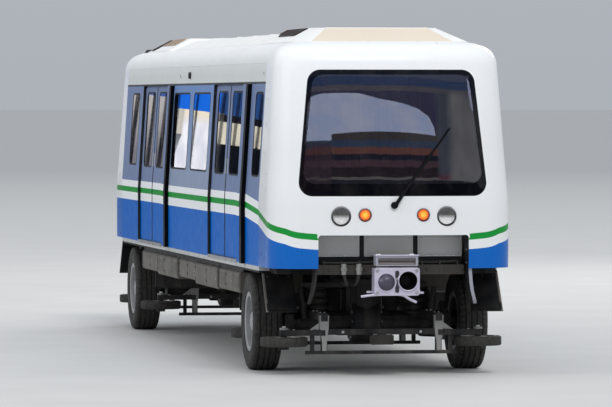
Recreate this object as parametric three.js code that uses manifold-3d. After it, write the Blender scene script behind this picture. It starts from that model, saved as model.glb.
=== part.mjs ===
// Lead car of a driverless people mover on rubber tyres, steered by horizontal guide wheels.
// Millimetres. +X is the leading end, +Y the car's left side, +Z up.
// The origin lies on the running surface, below the middle of the car.
import * as THREE from 'three';
import { mergeVertices } from 'three/addons/utils/BufferGeometryUtils.js';
import Module from 'manifold-3d';

const wasm = await Module();
wasm.setup();

// Main sizes
const HALF_LENGTH = 6890;
const HALF_WIDTH = 1235;
const WALL_END = 5720;
const SKIRT_Z = 1095;
const WAIST_Z = 1750;
const FASCIA_Z = 2950;
const SHOULDER_Z = 3170;
const SHOULDER_HALF = 1145;
const ROOF_TOP_Z = 3368;
const FLOOR_Z = 1130;
const SLAB_BOTTOM_Z = 1030;
const AXLE_X = 4850;
const TYRE_RADIUS = 500;
const UNIT_TOP_Z = 3530;
const GAP = 0.3;

// The wall from its outer face inwards
const WALL = { thick: 110, skin: 14, lining: 90 };
const GLASS = { outer: WALL.skin + GAP, inner: 20 };
const LEAF = { outer: 34, inner: 70, tongueOuter: 42, tongueInner: 62 };
const TRACK = { outer: 41.5, inner: 62.5, topZ: 2990 };

// Doorways and windows on the right side; the left side is the same, turned half round
const DOORWAY = { near: 1950, far: 4150, middle: 3050 };
const LEAF_GAP = 3;
const LEAF_OVERLAP = 30;
const LEAF_BOTTOM_Z = 1122;
const LEAF_TOP_Z = 2935;
const LEAF_TONGUE_Z = 2985;
const LEAF_WINDOW_WIDTH = 740;
const WINDOW_Z = [2000, 2870];
const WINDOW_RADIUS = 80;
const POST = { ahead: 515, width: 130, proud: 45 };
const THRESHOLD_Z = 1112;

// The rounded shoulder between wall and roof: half width and height
const SHOULDER_ARC = [[1128, 3228], [1098, 3280], [1052, 3320], [990, 3348], [920, ROOF_TOP_Z]];

// The moulded ends: height, half width, and how far the nose reaches at the middle
const NOSE_LEVELS = [
  { z: SKIRT_Z, half: HALF_WIDTH, nose: 6675 },
  { z: 1300, half: HALF_WIDTH, nose: 6685 },
  { z: WAIST_Z, half: HALF_WIDTH, nose: 6673 },
  { z: SHOULDER_Z, half: SHOULDER_HALF, nose: 6503 },
  { z: 3228, half: 1128, nose: 6480 },
  { z: 3280, half: 1098, nose: 6440 },
  { z: 3320, half: 1052, nose: 6382 },
  { z: 3348, half: 990, nose: 6300 },
  { z: ROOF_TOP_Z, half: 920, nose: 6190 },
];
const NOSE_CORNER = 350;
const NOSE_FACE_RADIUS = 7000;
const NOSE_THICK = 100;
const REAR_SETBACK = 60;
const SCREEN_CUT_X = [6200, 7000];

const SCREEN = { bottomZ: 1820, topZ: 3090, bottomHalf: 970, topHalf: 842, radius: 132, thick: 16 };
const CUTOUT = { half: 765, topZ: 1430 };
const RECESS = { x: [6320, 6580], inner: 768, outer: 790, bottomZ: 1100, ceilingZ: [1433, 1452] };
const APRON = { x: [6410, 6579], bendZ: 1050, kneeZ: 900, kneeOut: 16, footZ: 738, footOut: 64 };
const HEADLAMP = { y: 537, z: 1620, radius: 100 };
const MARKER_LAMP = { y: 296, z: 1634, radius: 67 };
const LAMP_HOLE_X = [6400, 7000];

// Colours and finishes
const paint = (color, roughness, metalness) =>
  new THREE.MeshStandardMaterial({ color, roughness, metalness });
const WHITE = paint(0xf1f3f4, 0.35, 0.1);
const FASCIA = paint(0xd9dcdc, 0.4, 0.1);
const WALL_BLUE = paint(0x1a56b0, 0.4, 0.1);
const DOOR_BLUE = paint(0x2a62b8, 0.4, 0.1);
const GLASS_DARK = paint(0x1b2230, 0.08, 0.0);
const CREAM = paint(0xe9dcc6, 0.5, 0.1);
const BOX_GREY = paint(0x5f5b56, 0.7, 0.3);
const FRAME_GREY = paint(0x2c2b2b, 0.6, 0.5);
const PANEL_GREY = paint(0x96979b, 0.5, 0.3);
const SILL_ALUMINIUM = paint(0xb9bcc0, 0.4, 0.7);
const LAMP = paint(0xc8ccd0, 0.15, 0.6);
const RUBBER = paint(0x1c1c1d, 0.85, 0.0);
const RIM_STEEL = paint(0x8d8f92, 0.4, 0.7);
const COUPLER_STEEL = paint(0xa9a6b2, 0.45, 0.7);
const SEAT_PLASTIC = paint(0x3c5a86, 0.5, 0.0);
const STAINLESS = paint(0xc4c6c8, 0.25, 0.9);

const root = new THREE.Group();

// Helpers that make solids

function toSolid(geometry) {
  const bare = geometry.clone();
  bare.deleteAttribute('normal');
  bare.deleteAttribute('uv');
  const merged = mergeVertices(bare, 1e-3);
  const vertProperties = new Float32Array(merged.attributes.position.array);
  const triVerts = new Uint32Array(merged.index.array);
  return new wasm.Manifold(new wasm.Mesh({ numProp: 3, vertProperties, triVerts }));
}

function toGeometry(solid) {
  const mesh = solid.getMesh();
  const geometry = new THREE.BufferGeometry();
  const stride = mesh.numProp;
  const positions = new Float32Array(mesh.numVert * 3);
  for (let i = 0; i < mesh.numVert; i += 1) {
    for (let axis = 0; axis < 3; axis += 1) {
      positions[i * 3 + axis] = mesh.vertProperties[i * stride + axis];
    }
  }
  geometry.setAttribute('position', new THREE.BufferAttribute(positions, 3));
  geometry.setIndex(new THREE.BufferAttribute(new Uint32Array(mesh.triVerts), 1));
  geometry.computeVertexNormals();
  return geometry;
}

function place(name, solid, material, parent = root) {
  const mesh = new THREE.Mesh(toGeometry(solid), material);
  mesh.name = name;
  parent.add(mesh);
  return mesh;
}

const union = (solids) => solids.reduce((sum, solid) => sum.add(solid));

function box(x0, x1, y0, y1, z0, z1) {
  const geometry = new THREE.BoxGeometry(x1 - x0, y1 - y0, z1 - z0);
  geometry.translate((x0 + x1) / 2, (y0 + y1) / 2, (z0 + z1) / 2);
  return toSolid(geometry);
}

function extrude(points, depth) {
  const shape = new THREE.Shape(points.map(([a, b]) => new THREE.Vector2(a, b)));
  return new THREE.ExtrudeGeometry(shape, { depth, bevelEnabled: false, steps: 1 });
}

const AXIS_X = new THREE.Vector3(1, 0, 0);
const AXIS_Y = new THREE.Vector3(0, 1, 0);
const AXIS_Z = new THREE.Vector3(0, 0, 1);

// An outline of [y, z] points, drawn out along X
function prismX(points, x0, x1) {
  const geometry = extrude(points, x1 - x0);
  geometry.applyMatrix4(new THREE.Matrix4().makeBasis(AXIS_Y, AXIS_Z, AXIS_X));
  geometry.translate(x0, 0, 0);
  return toSolid(geometry);
}

// An outline of [x, z] points, drawn out along Y
function prismY(points, y0, y1) {
  const geometry = extrude(points.map(([x, z]) => [z, x]), y1 - y0);
  geometry.applyMatrix4(new THREE.Matrix4().makeBasis(AXIS_Z, AXIS_X, AXIS_Y));
  geometry.translate(0, y0, 0);
  return toSolid(geometry);
}

// An outline of [x, y] points, drawn out along Z
function prismZ(points, z0, z1) {
  const geometry = extrude(points, z1 - z0);
  geometry.translate(0, 0, z0);
  return toSolid(geometry);
}

function cylinder(axis, centre, radius, from, to, sides, endRadius = radius) {
  const geometry = new THREE.CylinderGeometry(endRadius, radius, to - from, sides);
  geometry.translate(0, (from + to) / 2, 0);
  if (axis === 'x') geometry.rotateZ(-Math.PI / 2);
  if (axis === 'z') geometry.rotateX(Math.PI / 2);
  geometry.translate(...centre);
  return toSolid(geometry);
}

// A closed profile of [radius, height] points, turned about Y or Z.
// A flat facet faces straight down, so that a wheel stands on it.
function turned(axis, centre, profile, sides) {
  const points = profile.map(([radius, height]) => new THREE.Vector2(radius, height));
  points.push(points[0].clone());
  const geometry = new THREE.LatheGeometry(points, sides, Math.PI / sides, Math.PI * 2);
  if (axis === 'z') geometry.rotateX(Math.PI / 2);
  geometry.translate(...centre);
  const solid = toSolid(geometry);
  return solid.volume() < 0 ? toSolid(flipped(geometry)) : solid;
}

function flipped(geometry) {
  const turnedOver = geometry.clone();
  const index = turnedOver.index.array;
  for (let i = 0; i < index.length; i += 3) {
    const first = index[i];
    index[i] = index[i + 1];
    index[i + 1] = first;
  }
  return turnedOver;
}

// The corners of an outline, rounded by arcs of one radius
function rounded(corners, radius, steps = 4) {
  const outline = [];
  const count = corners.length;
  corners.forEach((corner, i) => {
    const at = new THREE.Vector2(...corner);
    const before = new THREE.Vector2(...corners[(i + count - 1) % count]).sub(at).normalize();
    const after = new THREE.Vector2(...corners[(i + 1) % count]).sub(at).normalize();
    const half = Math.acos(before.dot(after)) / 2;
    const middle = before.clone().add(after).normalize();
    const centre = at.clone().addScaledVector(middle, radius / Math.sin(half));
    const start = at.clone().addScaledVector(before, radius / Math.tan(half)).sub(centre);
    const end = at.clone().addScaledVector(after, radius / Math.tan(half)).sub(centre);
    const sweep = Math.atan2(start.cross(end), start.dot(end));
    for (let k = 0; k <= steps; k += 1) {
      const point = start.clone().rotateAround(new THREE.Vector2(), (sweep * k) / steps);
      outline.push([point.x + centre.x, point.y + centre.y]);
    }
  });
  return outline;
}

const rectangle = (a0, a1, b0, b1) => [[a0, b0], [a1, b0], [a1, b1], [a0, b1]];

// Closed rings with equal numbers of points, skinned into one solid
function loft(rings) {
  const count = rings[0].length;
  const positions = rings.flat(2);
  const index = [];
  for (let level = 0; level < rings.length - 1; level += 1) {
    for (let k = 0; k < count; k += 1) {
      const a = level * count + k;
      const b = level * count + ((k + 1) % count);
      index.push(a, b, b + count, a, b + count, a + count);
    }
  }
  const flat = rings[0].map(([x, y]) => new THREE.Vector2(x, y));
  const top = (rings.length - 1) * count;
  for (const [a, b, c] of THREE.ShapeUtils.triangulateShape(flat, [])) {
    index.push(a, c, b);
    index.push(top + a, top + b, top + c);
  }
  const geometry = new THREE.BufferGeometry();
  geometry.setAttribute('position', new THREE.Float32BufferAttribute(positions, 3));
  geometry.setIndex(index);
  return toSolid(geometry);
}

// The body's section

function wallHalf(z) {
  if (z <= WAIST_Z) return HALF_WIDTH;
  return HALF_WIDTH - ((z - WAIST_Z) * (HALF_WIDTH - SHOULDER_HALF)) / (SHOULDER_Z - WAIST_Z);
}

// Points on the right wall at one depth below its outer face, from one height to another
function wallLine(depth, z0, z1) {
  const between = (WAIST_Z - z0) * (WAIST_Z - z1) < 0 ? [WAIST_Z] : [];
  return [z0, ...between, z1].map((z) => [depth - wallHalf(z), z]);
}

const wallStrip = (outer, inner, z0, z1) => [...wallLine(outer, z0, z1), ...wallLine(inner, z1, z0)];

// Underframe: floor slab, side sills, thresholds, slewing rings, coupler pins and mudguards
function makeUnderframe() {
  const sillY = HALF_WIDTH - 5;
  const slabY = HALF_WIDTH - WALL.thick - GAP;
  const slabX = 6300;
  const chamferX = 6200;
  const chamferY = 1000;
  const slab = prismZ([
    [slabX, -chamferY], [slabX, chamferY], [chamferX, slabY], [-chamferX, slabY],
    [-slabX, chamferY], [-slabX, -chamferY], [-chamferX, -slabY], [chamferX, -slabY],
  ], SLAB_BOTTOM_Z, FLOOR_Z);
  const inSlab = SLAB_BOTTOM_Z + 10;
  const pieces = [slab];
  for (const side of [-1, 1]) {
    const inner = side * (slabY - 40);
    const sill = [inner, side * sillY].sort((a, b) => a - b);
    pieces.push(box(-WALL_END, WALL_END, ...sill, SLAB_BOTTOM_Z, SKIRT_Z - GAP));
    const threshold = [inner, side * (HALF_WIDTH - 1)].sort((a, b) => a - b);
    for (const end of [-1, 1]) {
      const door = [end * (DOORWAY.near + GAP), end * (DOORWAY.far - GAP)].sort((a, b) => a - b);
      pieces.push(box(...door, ...threshold, SLAB_BOTTOM_Z + 20, THRESHOLD_Z));
      pieces.push(makeMudguard(end, side));
    }
  }
  for (const end of [-1, 1]) {
    const ring = [end * AXLE_X, 0, 0];
    pieces.push(cylinder('z', ring, SLEW.radius, SLEW.z, inSlab, 24));
    const pin = [end * COUPLER_PIVOT.x, 0, 0];
    const { topZ, bottomZ, collar, washer, play } = COUPLER_PIVOT;
    pieces.push(cylinder('z', pin, collar, topZ + play, inSlab, 12));
    pieces.push(cylinder('z', pin, COUPLER_PIVOT.pin, bottomZ - 20, SLAB_BOTTOM_Z, 12));
    pieces.push(cylinder('z', pin, washer, bottomZ - 30, bottomZ - play, 12));
  }
  for (const [x, y] of JACKING_PADS) {
    const { halfX, halfY, z } = JACKING_PAD;
    pieces.push(box(x - halfX, x + halfX, y - halfY, y + halfY, z, inSlab));
  }
  return union(pieces);
}

// A slanting guard in front of each road wheel, held under the floor
function makeMudguard(end, side) {
  const guard = { topX: 5800, bottomX: 6120, topZ: SLAB_BOTTOM_Z + 12, bottomZ: 640, thick: 22 };
  const outline = [
    [end * guard.topX, guard.topZ], [end * (guard.topX + guard.thick), guard.topZ],
    [end * (guard.bottomX + guard.thick), guard.bottomZ], [end * guard.bottomX, guard.bottomZ],
  ];
  const across = [side * 900, side * 1215].sort((a, b) => a - b);
  return prismY(outline, ...across);
}

const SLEW = { radius: 360, z: 940, play: 0.4 };
const COUPLER_PIVOT = {
  x: 6100, topZ: 1000, bottomZ: 915, pin: 38, eye: 92, collar: 100, washer: 62, play: 3,
};
const PIN_PLAY = 1.2;
const JACKING_PAD = { halfX: 90, halfY: 60, z: 995 };
const JACKING_PADS = [[4260, -1130], [4260, 1130], [-4260, -1130], [-4260, 1130]];

// Roof: fascias over the doors and the arch between them, one shell the length of the walls
function makeRoof() {
  const ceiling = [[SHOULDER_HALF - WALL.thick, SHOULDER_Z], [990, ROOF_TOP_Z - NOSE_THICK]];
  const right = [
    ...wallLine(WALL.thick, SHOULDER_Z, FASCIA_Z),
    ...wallLine(TRACK.inner, FASCIA_Z, TRACK.topZ),
    ...wallLine(TRACK.outer, TRACK.topZ, FASCIA_Z),
    ...wallLine(0, FASCIA_Z, SHOULDER_Z),
    ...SHOULDER_ARC.map(([half, z]) => [-half, z]),
  ];
  right.unshift([-ceiling[1][0], ceiling[1][1]]);
  const left = right.map(([y, z]) => [-y, z]).reverse();
  return prismX([...right, ...left], -WALL_END + GAP, WALL_END - GAP);
}

// Right side wall panels between and beyond the doorways, each a skin and a lining with a pocket
const SIDE_PANELS = [
  { name: 'rear', x: [-WALL_END + GAP, -DOORWAY.far], windows: [[-5120, -4420]], post: null },
  {
    name: 'mid', x: [-DOORWAY.near, DOORWAY.near], windows: [[-1265, 85], [395, 1745]],
    post: -DOORWAY.near + POST.ahead,
  },
  {
    name: 'front', x: [DOORWAY.far, WALL_END - GAP], windows: [[5100, 5650]],
    post: DOORWAY.far + POST.ahead,
  },
];
const POCKET_FLOOR_Z = 1112;

function makeSidePanel({ x, windows, post }) {
  const top = FASCIA_Z - GAP;
  const section = [
    ...wallLine(0, top, SKIRT_Z),
    ...wallLine(WALL.thick, SKIRT_Z, top),
    ...wallLine(WALL.lining, top, POCKET_FLOOR_Z),
    ...wallLine(WALL.skin, POCKET_FLOOR_Z, top),
  ];
  let panel = prismX(section, ...x);
  if (post !== null) {
    const strip = wallStrip(-POST.proud, 1, SKIRT_Z, top);
    panel = panel.add(prismX(strip, post, post + POST.width));
  }
  for (const [x0, x1] of windows) {
    const outline = rounded(rectangle(x0, x1, ...WINDOW_Z), WINDOW_RADIUS);
    panel = panel.subtract(prismY(outline, -HALF_WIDTH - 100, -HALF_WIDTH + 300));
  }
  return panel;
}

// One pane behind the skin, a little larger than its window or pair of windows
function makeSideGlass({ windows }) {
  const margin = 25;
  const x0 = windows[0][0] - margin;
  const x1 = windows[windows.length - 1][1] + margin;
  const [z0, z1] = WINDOW_Z;
  return prismX(wallStrip(GLASS.outer, GLASS.inner, z0 - margin, z1 + margin), x0, x1);
}

// One door leaf, hung by a tongue in the fascia's track; direction +1 opens towards +X
function makeDoorLeaf(centre, direction) {
  const shut = centre + direction * LEAF_GAP;
  const edge = centre + direction * ((DOORWAY.far - DOORWAY.near) / 2 + LEAF_OVERLAP);
  const section = [
    ...wallLine(LEAF.outer, LEAF_BOTTOM_Z, LEAF_TOP_Z),
    ...wallLine(LEAF.tongueOuter, LEAF_TOP_Z, LEAF_TONGUE_Z),
    ...wallLine(LEAF.tongueInner, LEAF_TONGUE_Z, LEAF_TOP_Z),
    ...wallLine(LEAF.inner, LEAF_TOP_Z, LEAF_BOTTOM_Z),
  ];
  const middle = centre + (direction * (DOORWAY.far - DOORWAY.near)) / 4;
  const half = LEAF_WINDOW_WIDTH / 2;
  const outline = rounded(rectangle(middle - half, middle + half, ...WINDOW_Z), WINDOW_RADIUS);
  const window = prismY(outline, -HALF_WIDTH - 100, -HALF_WIDTH + 300);
  return prismX(section, Math.min(shut, edge), Math.max(shut, edge)).subtract(window);
}

function makeSide(side, parent) {
  const farEnd = { rear: 'front', mid: 'mid', front: 'rear' };
  const nameOf = (end) => (side === 'right' ? end : farEnd[end]);
  for (const panel of SIDE_PANELS) {
    place(`${side}_${nameOf(panel.name)}_panel`, makeSidePanel(panel), WALL_BLUE, parent);
    place(`${side}_${nameOf(panel.name)}_glass`, makeSideGlass(panel), GLASS_DARK, parent);
  }
  for (const [end, centre] of [['front', DOORWAY.middle], ['rear', -DOORWAY.middle]]) {
    for (const direction of [1, -1]) {
      const ahead = (direction > 0) === (side === 'right') ? 'ahead' : 'behind';
      const name = `${side}_${nameOf(end)}_door_${ahead}`;
      place(name, makeDoorLeaf(centre, direction), DOOR_BLUE, parent);
    }
  }
}

// Moulded ends

// One horizontal ring of an end: straight sides, round corners and a slightly bowed face
function noseRing({ z, half, nose }, inset, backX, setback) {
  const reach = nose - inset * (NOSE_THICK / WALL.thick) - setback;
  const side = half - inset;
  const corner = NOSE_CORNER - inset;
  const faceCentre = reach - NOSE_FACE_RADIUS;
  const cornerY = side - corner;
  const cornerX = faceCentre + Math.sqrt((NOSE_FACE_RADIUS - corner) ** 2 - cornerY ** 2);
  const meet = Math.atan2(cornerY, cornerX - faceCentre);
  const cornerSteps = 5;
  const faceSteps = 6;
  const half1 = [];
  for (let k = 0; k <= cornerSteps; k += 1) {
    const angle = Math.PI / 2 + ((meet - Math.PI / 2) * k) / cornerSteps;
    half1.push([cornerX + corner * Math.cos(angle), cornerY + corner * Math.sin(angle)]);
  }
  for (let k = 1; k < faceSteps / 2; k += 1) {
    const angle = meet * (1 - (2 * k) / faceSteps);
    half1.push([
      faceCentre + NOSE_FACE_RADIUS * Math.cos(angle),
      NOSE_FACE_RADIUS * Math.sin(angle),
    ]);
  }
  const right = [[backX, side], ...half1].map(([x, y]) => [x, -y, z]);
  const left = [...half1.slice().reverse(), [backX, side]].map(([x, y]) => [x, y, z]);
  return [...right, [reach, 0, z], ...left];
}

function noseShell(inset, backX, setback) {
  const levels = NOSE_LEVELS.map((level) => ({ ...level }));
  if (inset > 0) levels[0].z -= 20;
  return loft(levels.map((level) => noseRing(level, inset, backX, setback)));
}

function noseHollow(setback) {
  const shell = noseShell(WALL.thick, WALL_END - 50, setback);
  const lidZ = [ROOF_TOP_Z - NOSE_THICK, ROOF_TOP_Z + 10];
  const lid = box(WALL_END - 100, HALF_LENGTH, -HALF_WIDTH, HALF_WIDTH, ...lidZ);
  return shell.subtract(lid);
}

function screenOutline(inset) {
  const { bottomZ, topZ, bottomHalf, topHalf, radius } = SCREEN;
  return rounded([
    [-bottomHalf + inset, bottomZ + inset], [bottomHalf - inset, bottomZ + inset],
    [topHalf - inset, topZ - inset], [-topHalf + inset, topZ - inset],
  ], radius - inset, 5);
}

function makeEndShell(setback) {
  const outer = noseShell(0, WALL_END, setback);
  return outer.subtract(noseHollow(setback)).subtract(prismX(screenOutline(0), ...SCREEN_CUT_X));
}

function makeScreen(setback) {
  const pane = noseShell(0, WALL_END, setback).subtract(noseShell(SCREEN.thick, WALL_END - 50, setback));
  return pane.intersect(prismX(screenOutline(0.5), ...SCREEN_CUT_X));
}

// Sides and ceiling of the cut-out, which reach back from the front wall, with an apron curving out below
// each side
function makeRecess() {
  const pieces = [box(...RECESS.x, -RECESS.outer, RECESS.outer, ...RECESS.ceilingZ)];
  for (const side of [-1, 1]) {
    const across = [side * RECESS.inner, side * RECESS.outer].sort((a, b) => a - b);
    pieces.push(box(...RECESS.x, ...across, RECESS.bottomZ, RECESS.ceilingZ[1]));
    pieces.push(makeApron(side));
  }
  return union(pieces);
}

function makeApron(side) {
  const line = [
    [RECESS.inner + 1, RECESS.bottomZ + 60], [RECESS.inner + 1, APRON.bendZ],
    [RECESS.inner + APRON.kneeOut, APRON.kneeZ], [RECESS.inner + APRON.footOut, APRON.footZ],
  ];
  const thick = RECESS.outer - RECESS.inner - 2;
  const far = line.map(([y, z]) => [y + thick, z]).reverse();
  return prismX([...line, ...far].map(([y, z]) => [side * y, z]), ...APRON.x);
}

function makeFrontCap() {
  let cap = makeEndShell(0);
  const bumperX = [WALL_END + 300, HALF_LENGTH];
  cap = cap.subtract(box(...bumperX, -CUTOUT.half, CUTOUT.half, SKIRT_Z - 50, CUTOUT.topZ));
  for (const lamp of [HEADLAMP, MARKER_LAMP]) {
    for (const side of [-1, 1]) {
      const hole = cylinder('x', [0, side * lamp.y, lamp.z], lamp.radius + 0.6, ...LAMP_HOLE_X, 24);
      cap = cap.subtract(hole);
    }
  }
  return union([cap, makeRecess()]);
}

// How far the front face reaches at a point
function faceX(y, z) {
  const above = NOSE_LEVELS.findIndex((level) => level.z > z);
  const low = NOSE_LEVELS[above - 1];
  const high = NOSE_LEVELS[above];
  const nose = low.nose + ((high.nose - low.nose) * (z - low.z)) / (high.z - low.z);
  return nose - NOSE_FACE_RADIUS + Math.sqrt(NOSE_FACE_RADIUS ** 2 - y ** 2);
}

// Head lamps and orange marker lamps on one bar inside the front cap
function makeLampBar() {
  const bar = { x: [6500, 6537], half: 660, z: [1575, 1675] };
  const pieces = [box(...bar.x, -bar.half, bar.half, ...bar.z)];
  for (const lamp of [HEADLAMP, MARKER_LAMP]) {
    for (const side of [-1, 1]) {
      const front = faceX(lamp.y, lamp.z) + 12;
      const centre = [0, side * lamp.y, lamp.z];
      pieces.push(cylinder('x', centre, lamp.radius, bar.x[0] + 5, front, 24));
    }
  }
  return union(pieces);
}

// An outline of [y, z] points laid against the raked windscreen, standing off it by two depths
function prismOnScreen(points, nearDepth, farDepth) {
  const rake = (NOSE_LEVELS[3].nose - NOSE_LEVELS[2].nose) / (SHOULDER_Z - WAIST_Z);
  const geometry = extrude(points, farDepth - nearDepth);
  geometry.applyMatrix4(new THREE.Matrix4().makeBasis(AXIS_Y, AXIS_Z, AXIS_X));
  const lean = new THREE.Matrix4().set(
    1, 0, rake, NOSE_LEVELS[2].nose - rake * WAIST_Z + nearDepth,
    0, 1, 0, 0,
    0, 0, 1, 0,
    0, 0, 0, 1,
  );
  geometry.applyMatrix4(lean);
  return toSolid(geometry);
}

// Wiper: boss, arm and blade, lying a little ahead of the glass
function makeWiper() {
  const pivot = { y: 0, z: 1730, radius: 36 };
  const seat = faceX(pivot.y, pivot.z - pivot.radius) + GAP;
  const boss = cylinder('x', [0, pivot.y, pivot.z], pivot.radius, seat, seat + 40, 12);
  const armDepth = { near: 24, far: 36 };
  const bladeDepth = { near: 4, far: 26 };
  const armOutline = [[-16, 1718], [16, 1708], [402, 2238], [378, 2254]];
  const bladeOutline = [[200, 1992], [216, 1982], [590, 2496], [574, 2506]];
  const arm = prismOnScreen(armOutline, armDepth.near, armDepth.far);
  const blade = prismOnScreen(bladeOutline, bladeDepth.near, bladeDepth.far);
  return union([boss, arm, blade]);
}

// Cross beam and grey access panels behind the cut-out in the front cap
function makeFrontBeam() {
  const half = CUTOUT.half - 15;
  const panelX = [6310, 6335];
  const panelZ = [1232, CUTOUT.topZ - 5];
  const seam = { inner: 250, outer: 298 };
  return union([
    box(6300 + GAP, 6470, -half, half, SLAB_BOTTOM_Z, 1130),
    box(6300 + GAP, panelX[0] + 1, -half, half, 1125, panelZ[1]),
    box(...panelX, -half, -seam.outer, ...panelZ),
    box(...panelX, -seam.inner, seam.inner, ...panelZ),
    box(...panelX, seam.outer, half, ...panelZ),
  ]);
}

const makeCouplerEye = () =>
  cylinder('z', [COUPLER_PIVOT.x, 0, 0], COUPLER_PIVOT.eye, COUPLER_PIVOT.bottomZ, COUPLER_PIVOT.topZ, 16);

const makePinBore = () =>
  cylinder('z', [COUPLER_PIVOT.x, 0, 0], COUPLER_PIVOT.pin + PIN_PLAY, 800, 1100, 16);

// Automatic coupler: eye, shank, head with cone and funnel, contact box above
function makeCoupler() {
  const faceX = 6840;
  const funnelCentre = [0, 110, 965];
  const coneCentre = [0, -108, 955];
  const headZ = [830, 1110];
  const headOutline = [
    [6600, -160], [6660, -230], [faceX, -230], [faceX, 230], [6660, 230], [6600, 160],
  ];
  const head = union([
    box(COUPLER_PIVOT.x + 60, 6620, -55, 55, 925, 990),
    prismZ(headOutline, ...headZ),
    cylinder('x', funnelCentre, 98, faceX - 5, faceX + 22, 24),
    cylinder('x', coneCentre, 78, faceX - 5, HALF_LENGTH, 20, 42),
    box(6700, 6760, -60, 60, headZ[1] - 5, 1130),
    box(6690, 6830, -215, 215, 1126, 1236),
    box(6700, 6740, -290, -220, 850, 880),
    box(6700, 6740, 220, 290, 840, 870),
  ]);
  const funnel = cylinder('x', funnelCentre, 74, 6740, HALF_LENGTH + 10, 24);
  return union([makeCouplerEye(), head]).subtract(makePinBore()).subtract(funnel);
}

// Semi-permanent drawbar to the next car
function makeDrawbar() {
  const flange = { radius: 130, thick: 40, z: 957 };
  const bar = union([
    box(COUPLER_PIVOT.x + 60, HALF_LENGTH - 30, -50, 50, 920, 995),
    cylinder('x', [0, 0, flange.z], flange.radius, HALF_LENGTH - flange.thick, HALF_LENGTH, 24),
  ]);
  return union([makeCouplerEye(), bar]).subtract(makePinBore());
}

// Roof air conditioner under a tapered cover
function makeRoofUnit() {
  const base = { x0: 3700, x1: 6000, half: 910, cut: 170 };
  const crown = { x0: 3800, x1: 5600, half: 630, cut: 110 };
  const ring = ({ x0, x1, half, cut }, z) => [
    [x0, -half, z], [x1 - cut, -half, z], [x1, -half + cut, z],
    [x1, half - cut, z], [x1 - cut, half, z], [x0, half, z],
  ];
  return loft([ring(base, ROOF_TOP_Z + GAP), ring(crown, UNIT_TOP_Z)]);
}

// Raised middle of the roof between the two units
const ROOF_DECK = { halfX: 3699, baseHalf: 880, crownHalf: 620, topZ: 3490 };
function makeRoofDeck() {
  const { halfX, baseHalf, crownHalf, topZ } = ROOF_DECK;
  const ring = (half, z) => [[-halfX, -half, z], [halfX, -half, z], [halfX, half, z], [-halfX, half, z]];
  return loft([ring(baseHalf, ROOF_TOP_Z + GAP), ring(crownHalf, topZ)]);
}

// Underfloor equipment along one side: boxes of unlike size under one rail
const EQUIPMENT = [
  { x0: -4080, x1: -2620, bottomZ: 765, outerY: 1190 },
  { x0: -2560, x1: -820, bottomZ: 745, outerY: 1200 },
  { x0: -760, x1: 640, bottomZ: 775, outerY: 1185 },
  { x0: 700, x1: 2480, bottomZ: 745, outerY: 1200 },
  { x0: 2540, x1: 4080, bottomZ: 760, outerY: 1190 },
];

function makeEquipment() {
  const rail = box(-4080, 4080, -1165, -560, 975, SLAB_BOTTOM_Z - GAP);
  const boxes = EQUIPMENT.map(({ x0, x1, bottomZ, outerY }) => prismX([
    [-outerY, 985], [-outerY, bottomZ + 30], [-outerY + 30, bottomZ],
    [-540, bottomZ], [-520, bottomZ + 20], [-520, 985],
  ], x0, x1));
  return union([rail, ...boxes]);
}

// Steered axle assembly about its own slewing axis; +X points outwards to the car's end
const GUIDE = { x: 1050, y: 1000, radius: 240, middleZ: 335, pin: 30, beamY: 590, railZ: [205, 240] };
const SPINDLE = { radius: 60, reach: 1155 };

function makeAxleFrame() {
  const axleLine = [0, 0, TYRE_RADIUS];
  const bolsterZ = [850, 900];
  const turntable = cylinder('z', [0, 0, 0], 400, bolsterZ[1] - 3, SLEW.z - SLEW.play, 24);
  const kingpost = cylinder('z', [0, 0, 0], 190, TYRE_RADIUS, bolsterZ[1], 12);
  const bolster = box(-131, 131, -640, 640, ...bolsterZ);
  const motor = box(-960, -160, -210, 210, 470, 820);
  const pieces = [
    cylinder('y', axleLine, 105, -880, 880, 12),
    cylinder('y', axleLine, SPINDLE.radius, -SPINDLE.reach, SPINDLE.reach, 16),
    cylinder('y', axleLine, 215, -150, 150, 12),
    turntable, kingpost, bolster, motor,
  ];
  const spring = { y: 540, radius: 120 };
  for (const side of [-1, 1]) {
    const springAt = [0, side * spring.y, 0];
    pieces.push(cylinder('z', springAt, spring.radius, TYRE_RADIUS + 40, bolsterZ[0] + 10, 10));
    const beam = [side * GUIDE.beamY - 35, side * GUIDE.beamY + 35];
    pieces.push(box(-GUIDE.x - 40, GUIDE.x + 40, ...beam, 540, 620));
    for (const end of [-1, 1]) {
      pieces.push(...makeGuideArm(end, side));
    }
  }
  for (const end of [-1, 1]) {
    const [x0, x1] = [end * (GUIDE.x - 30), end * (GUIDE.x + 30)].sort((a, b) => a - b);
    pieces.push(box(x0, x1, -GUIDE.beamY - 20, GUIDE.beamY + 20, 402, 460));
    pieces.push(box(x0 + 10, x1 - 10, -780, 780, ...GUIDE.railZ));
  }
  return union(pieces);
}

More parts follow.
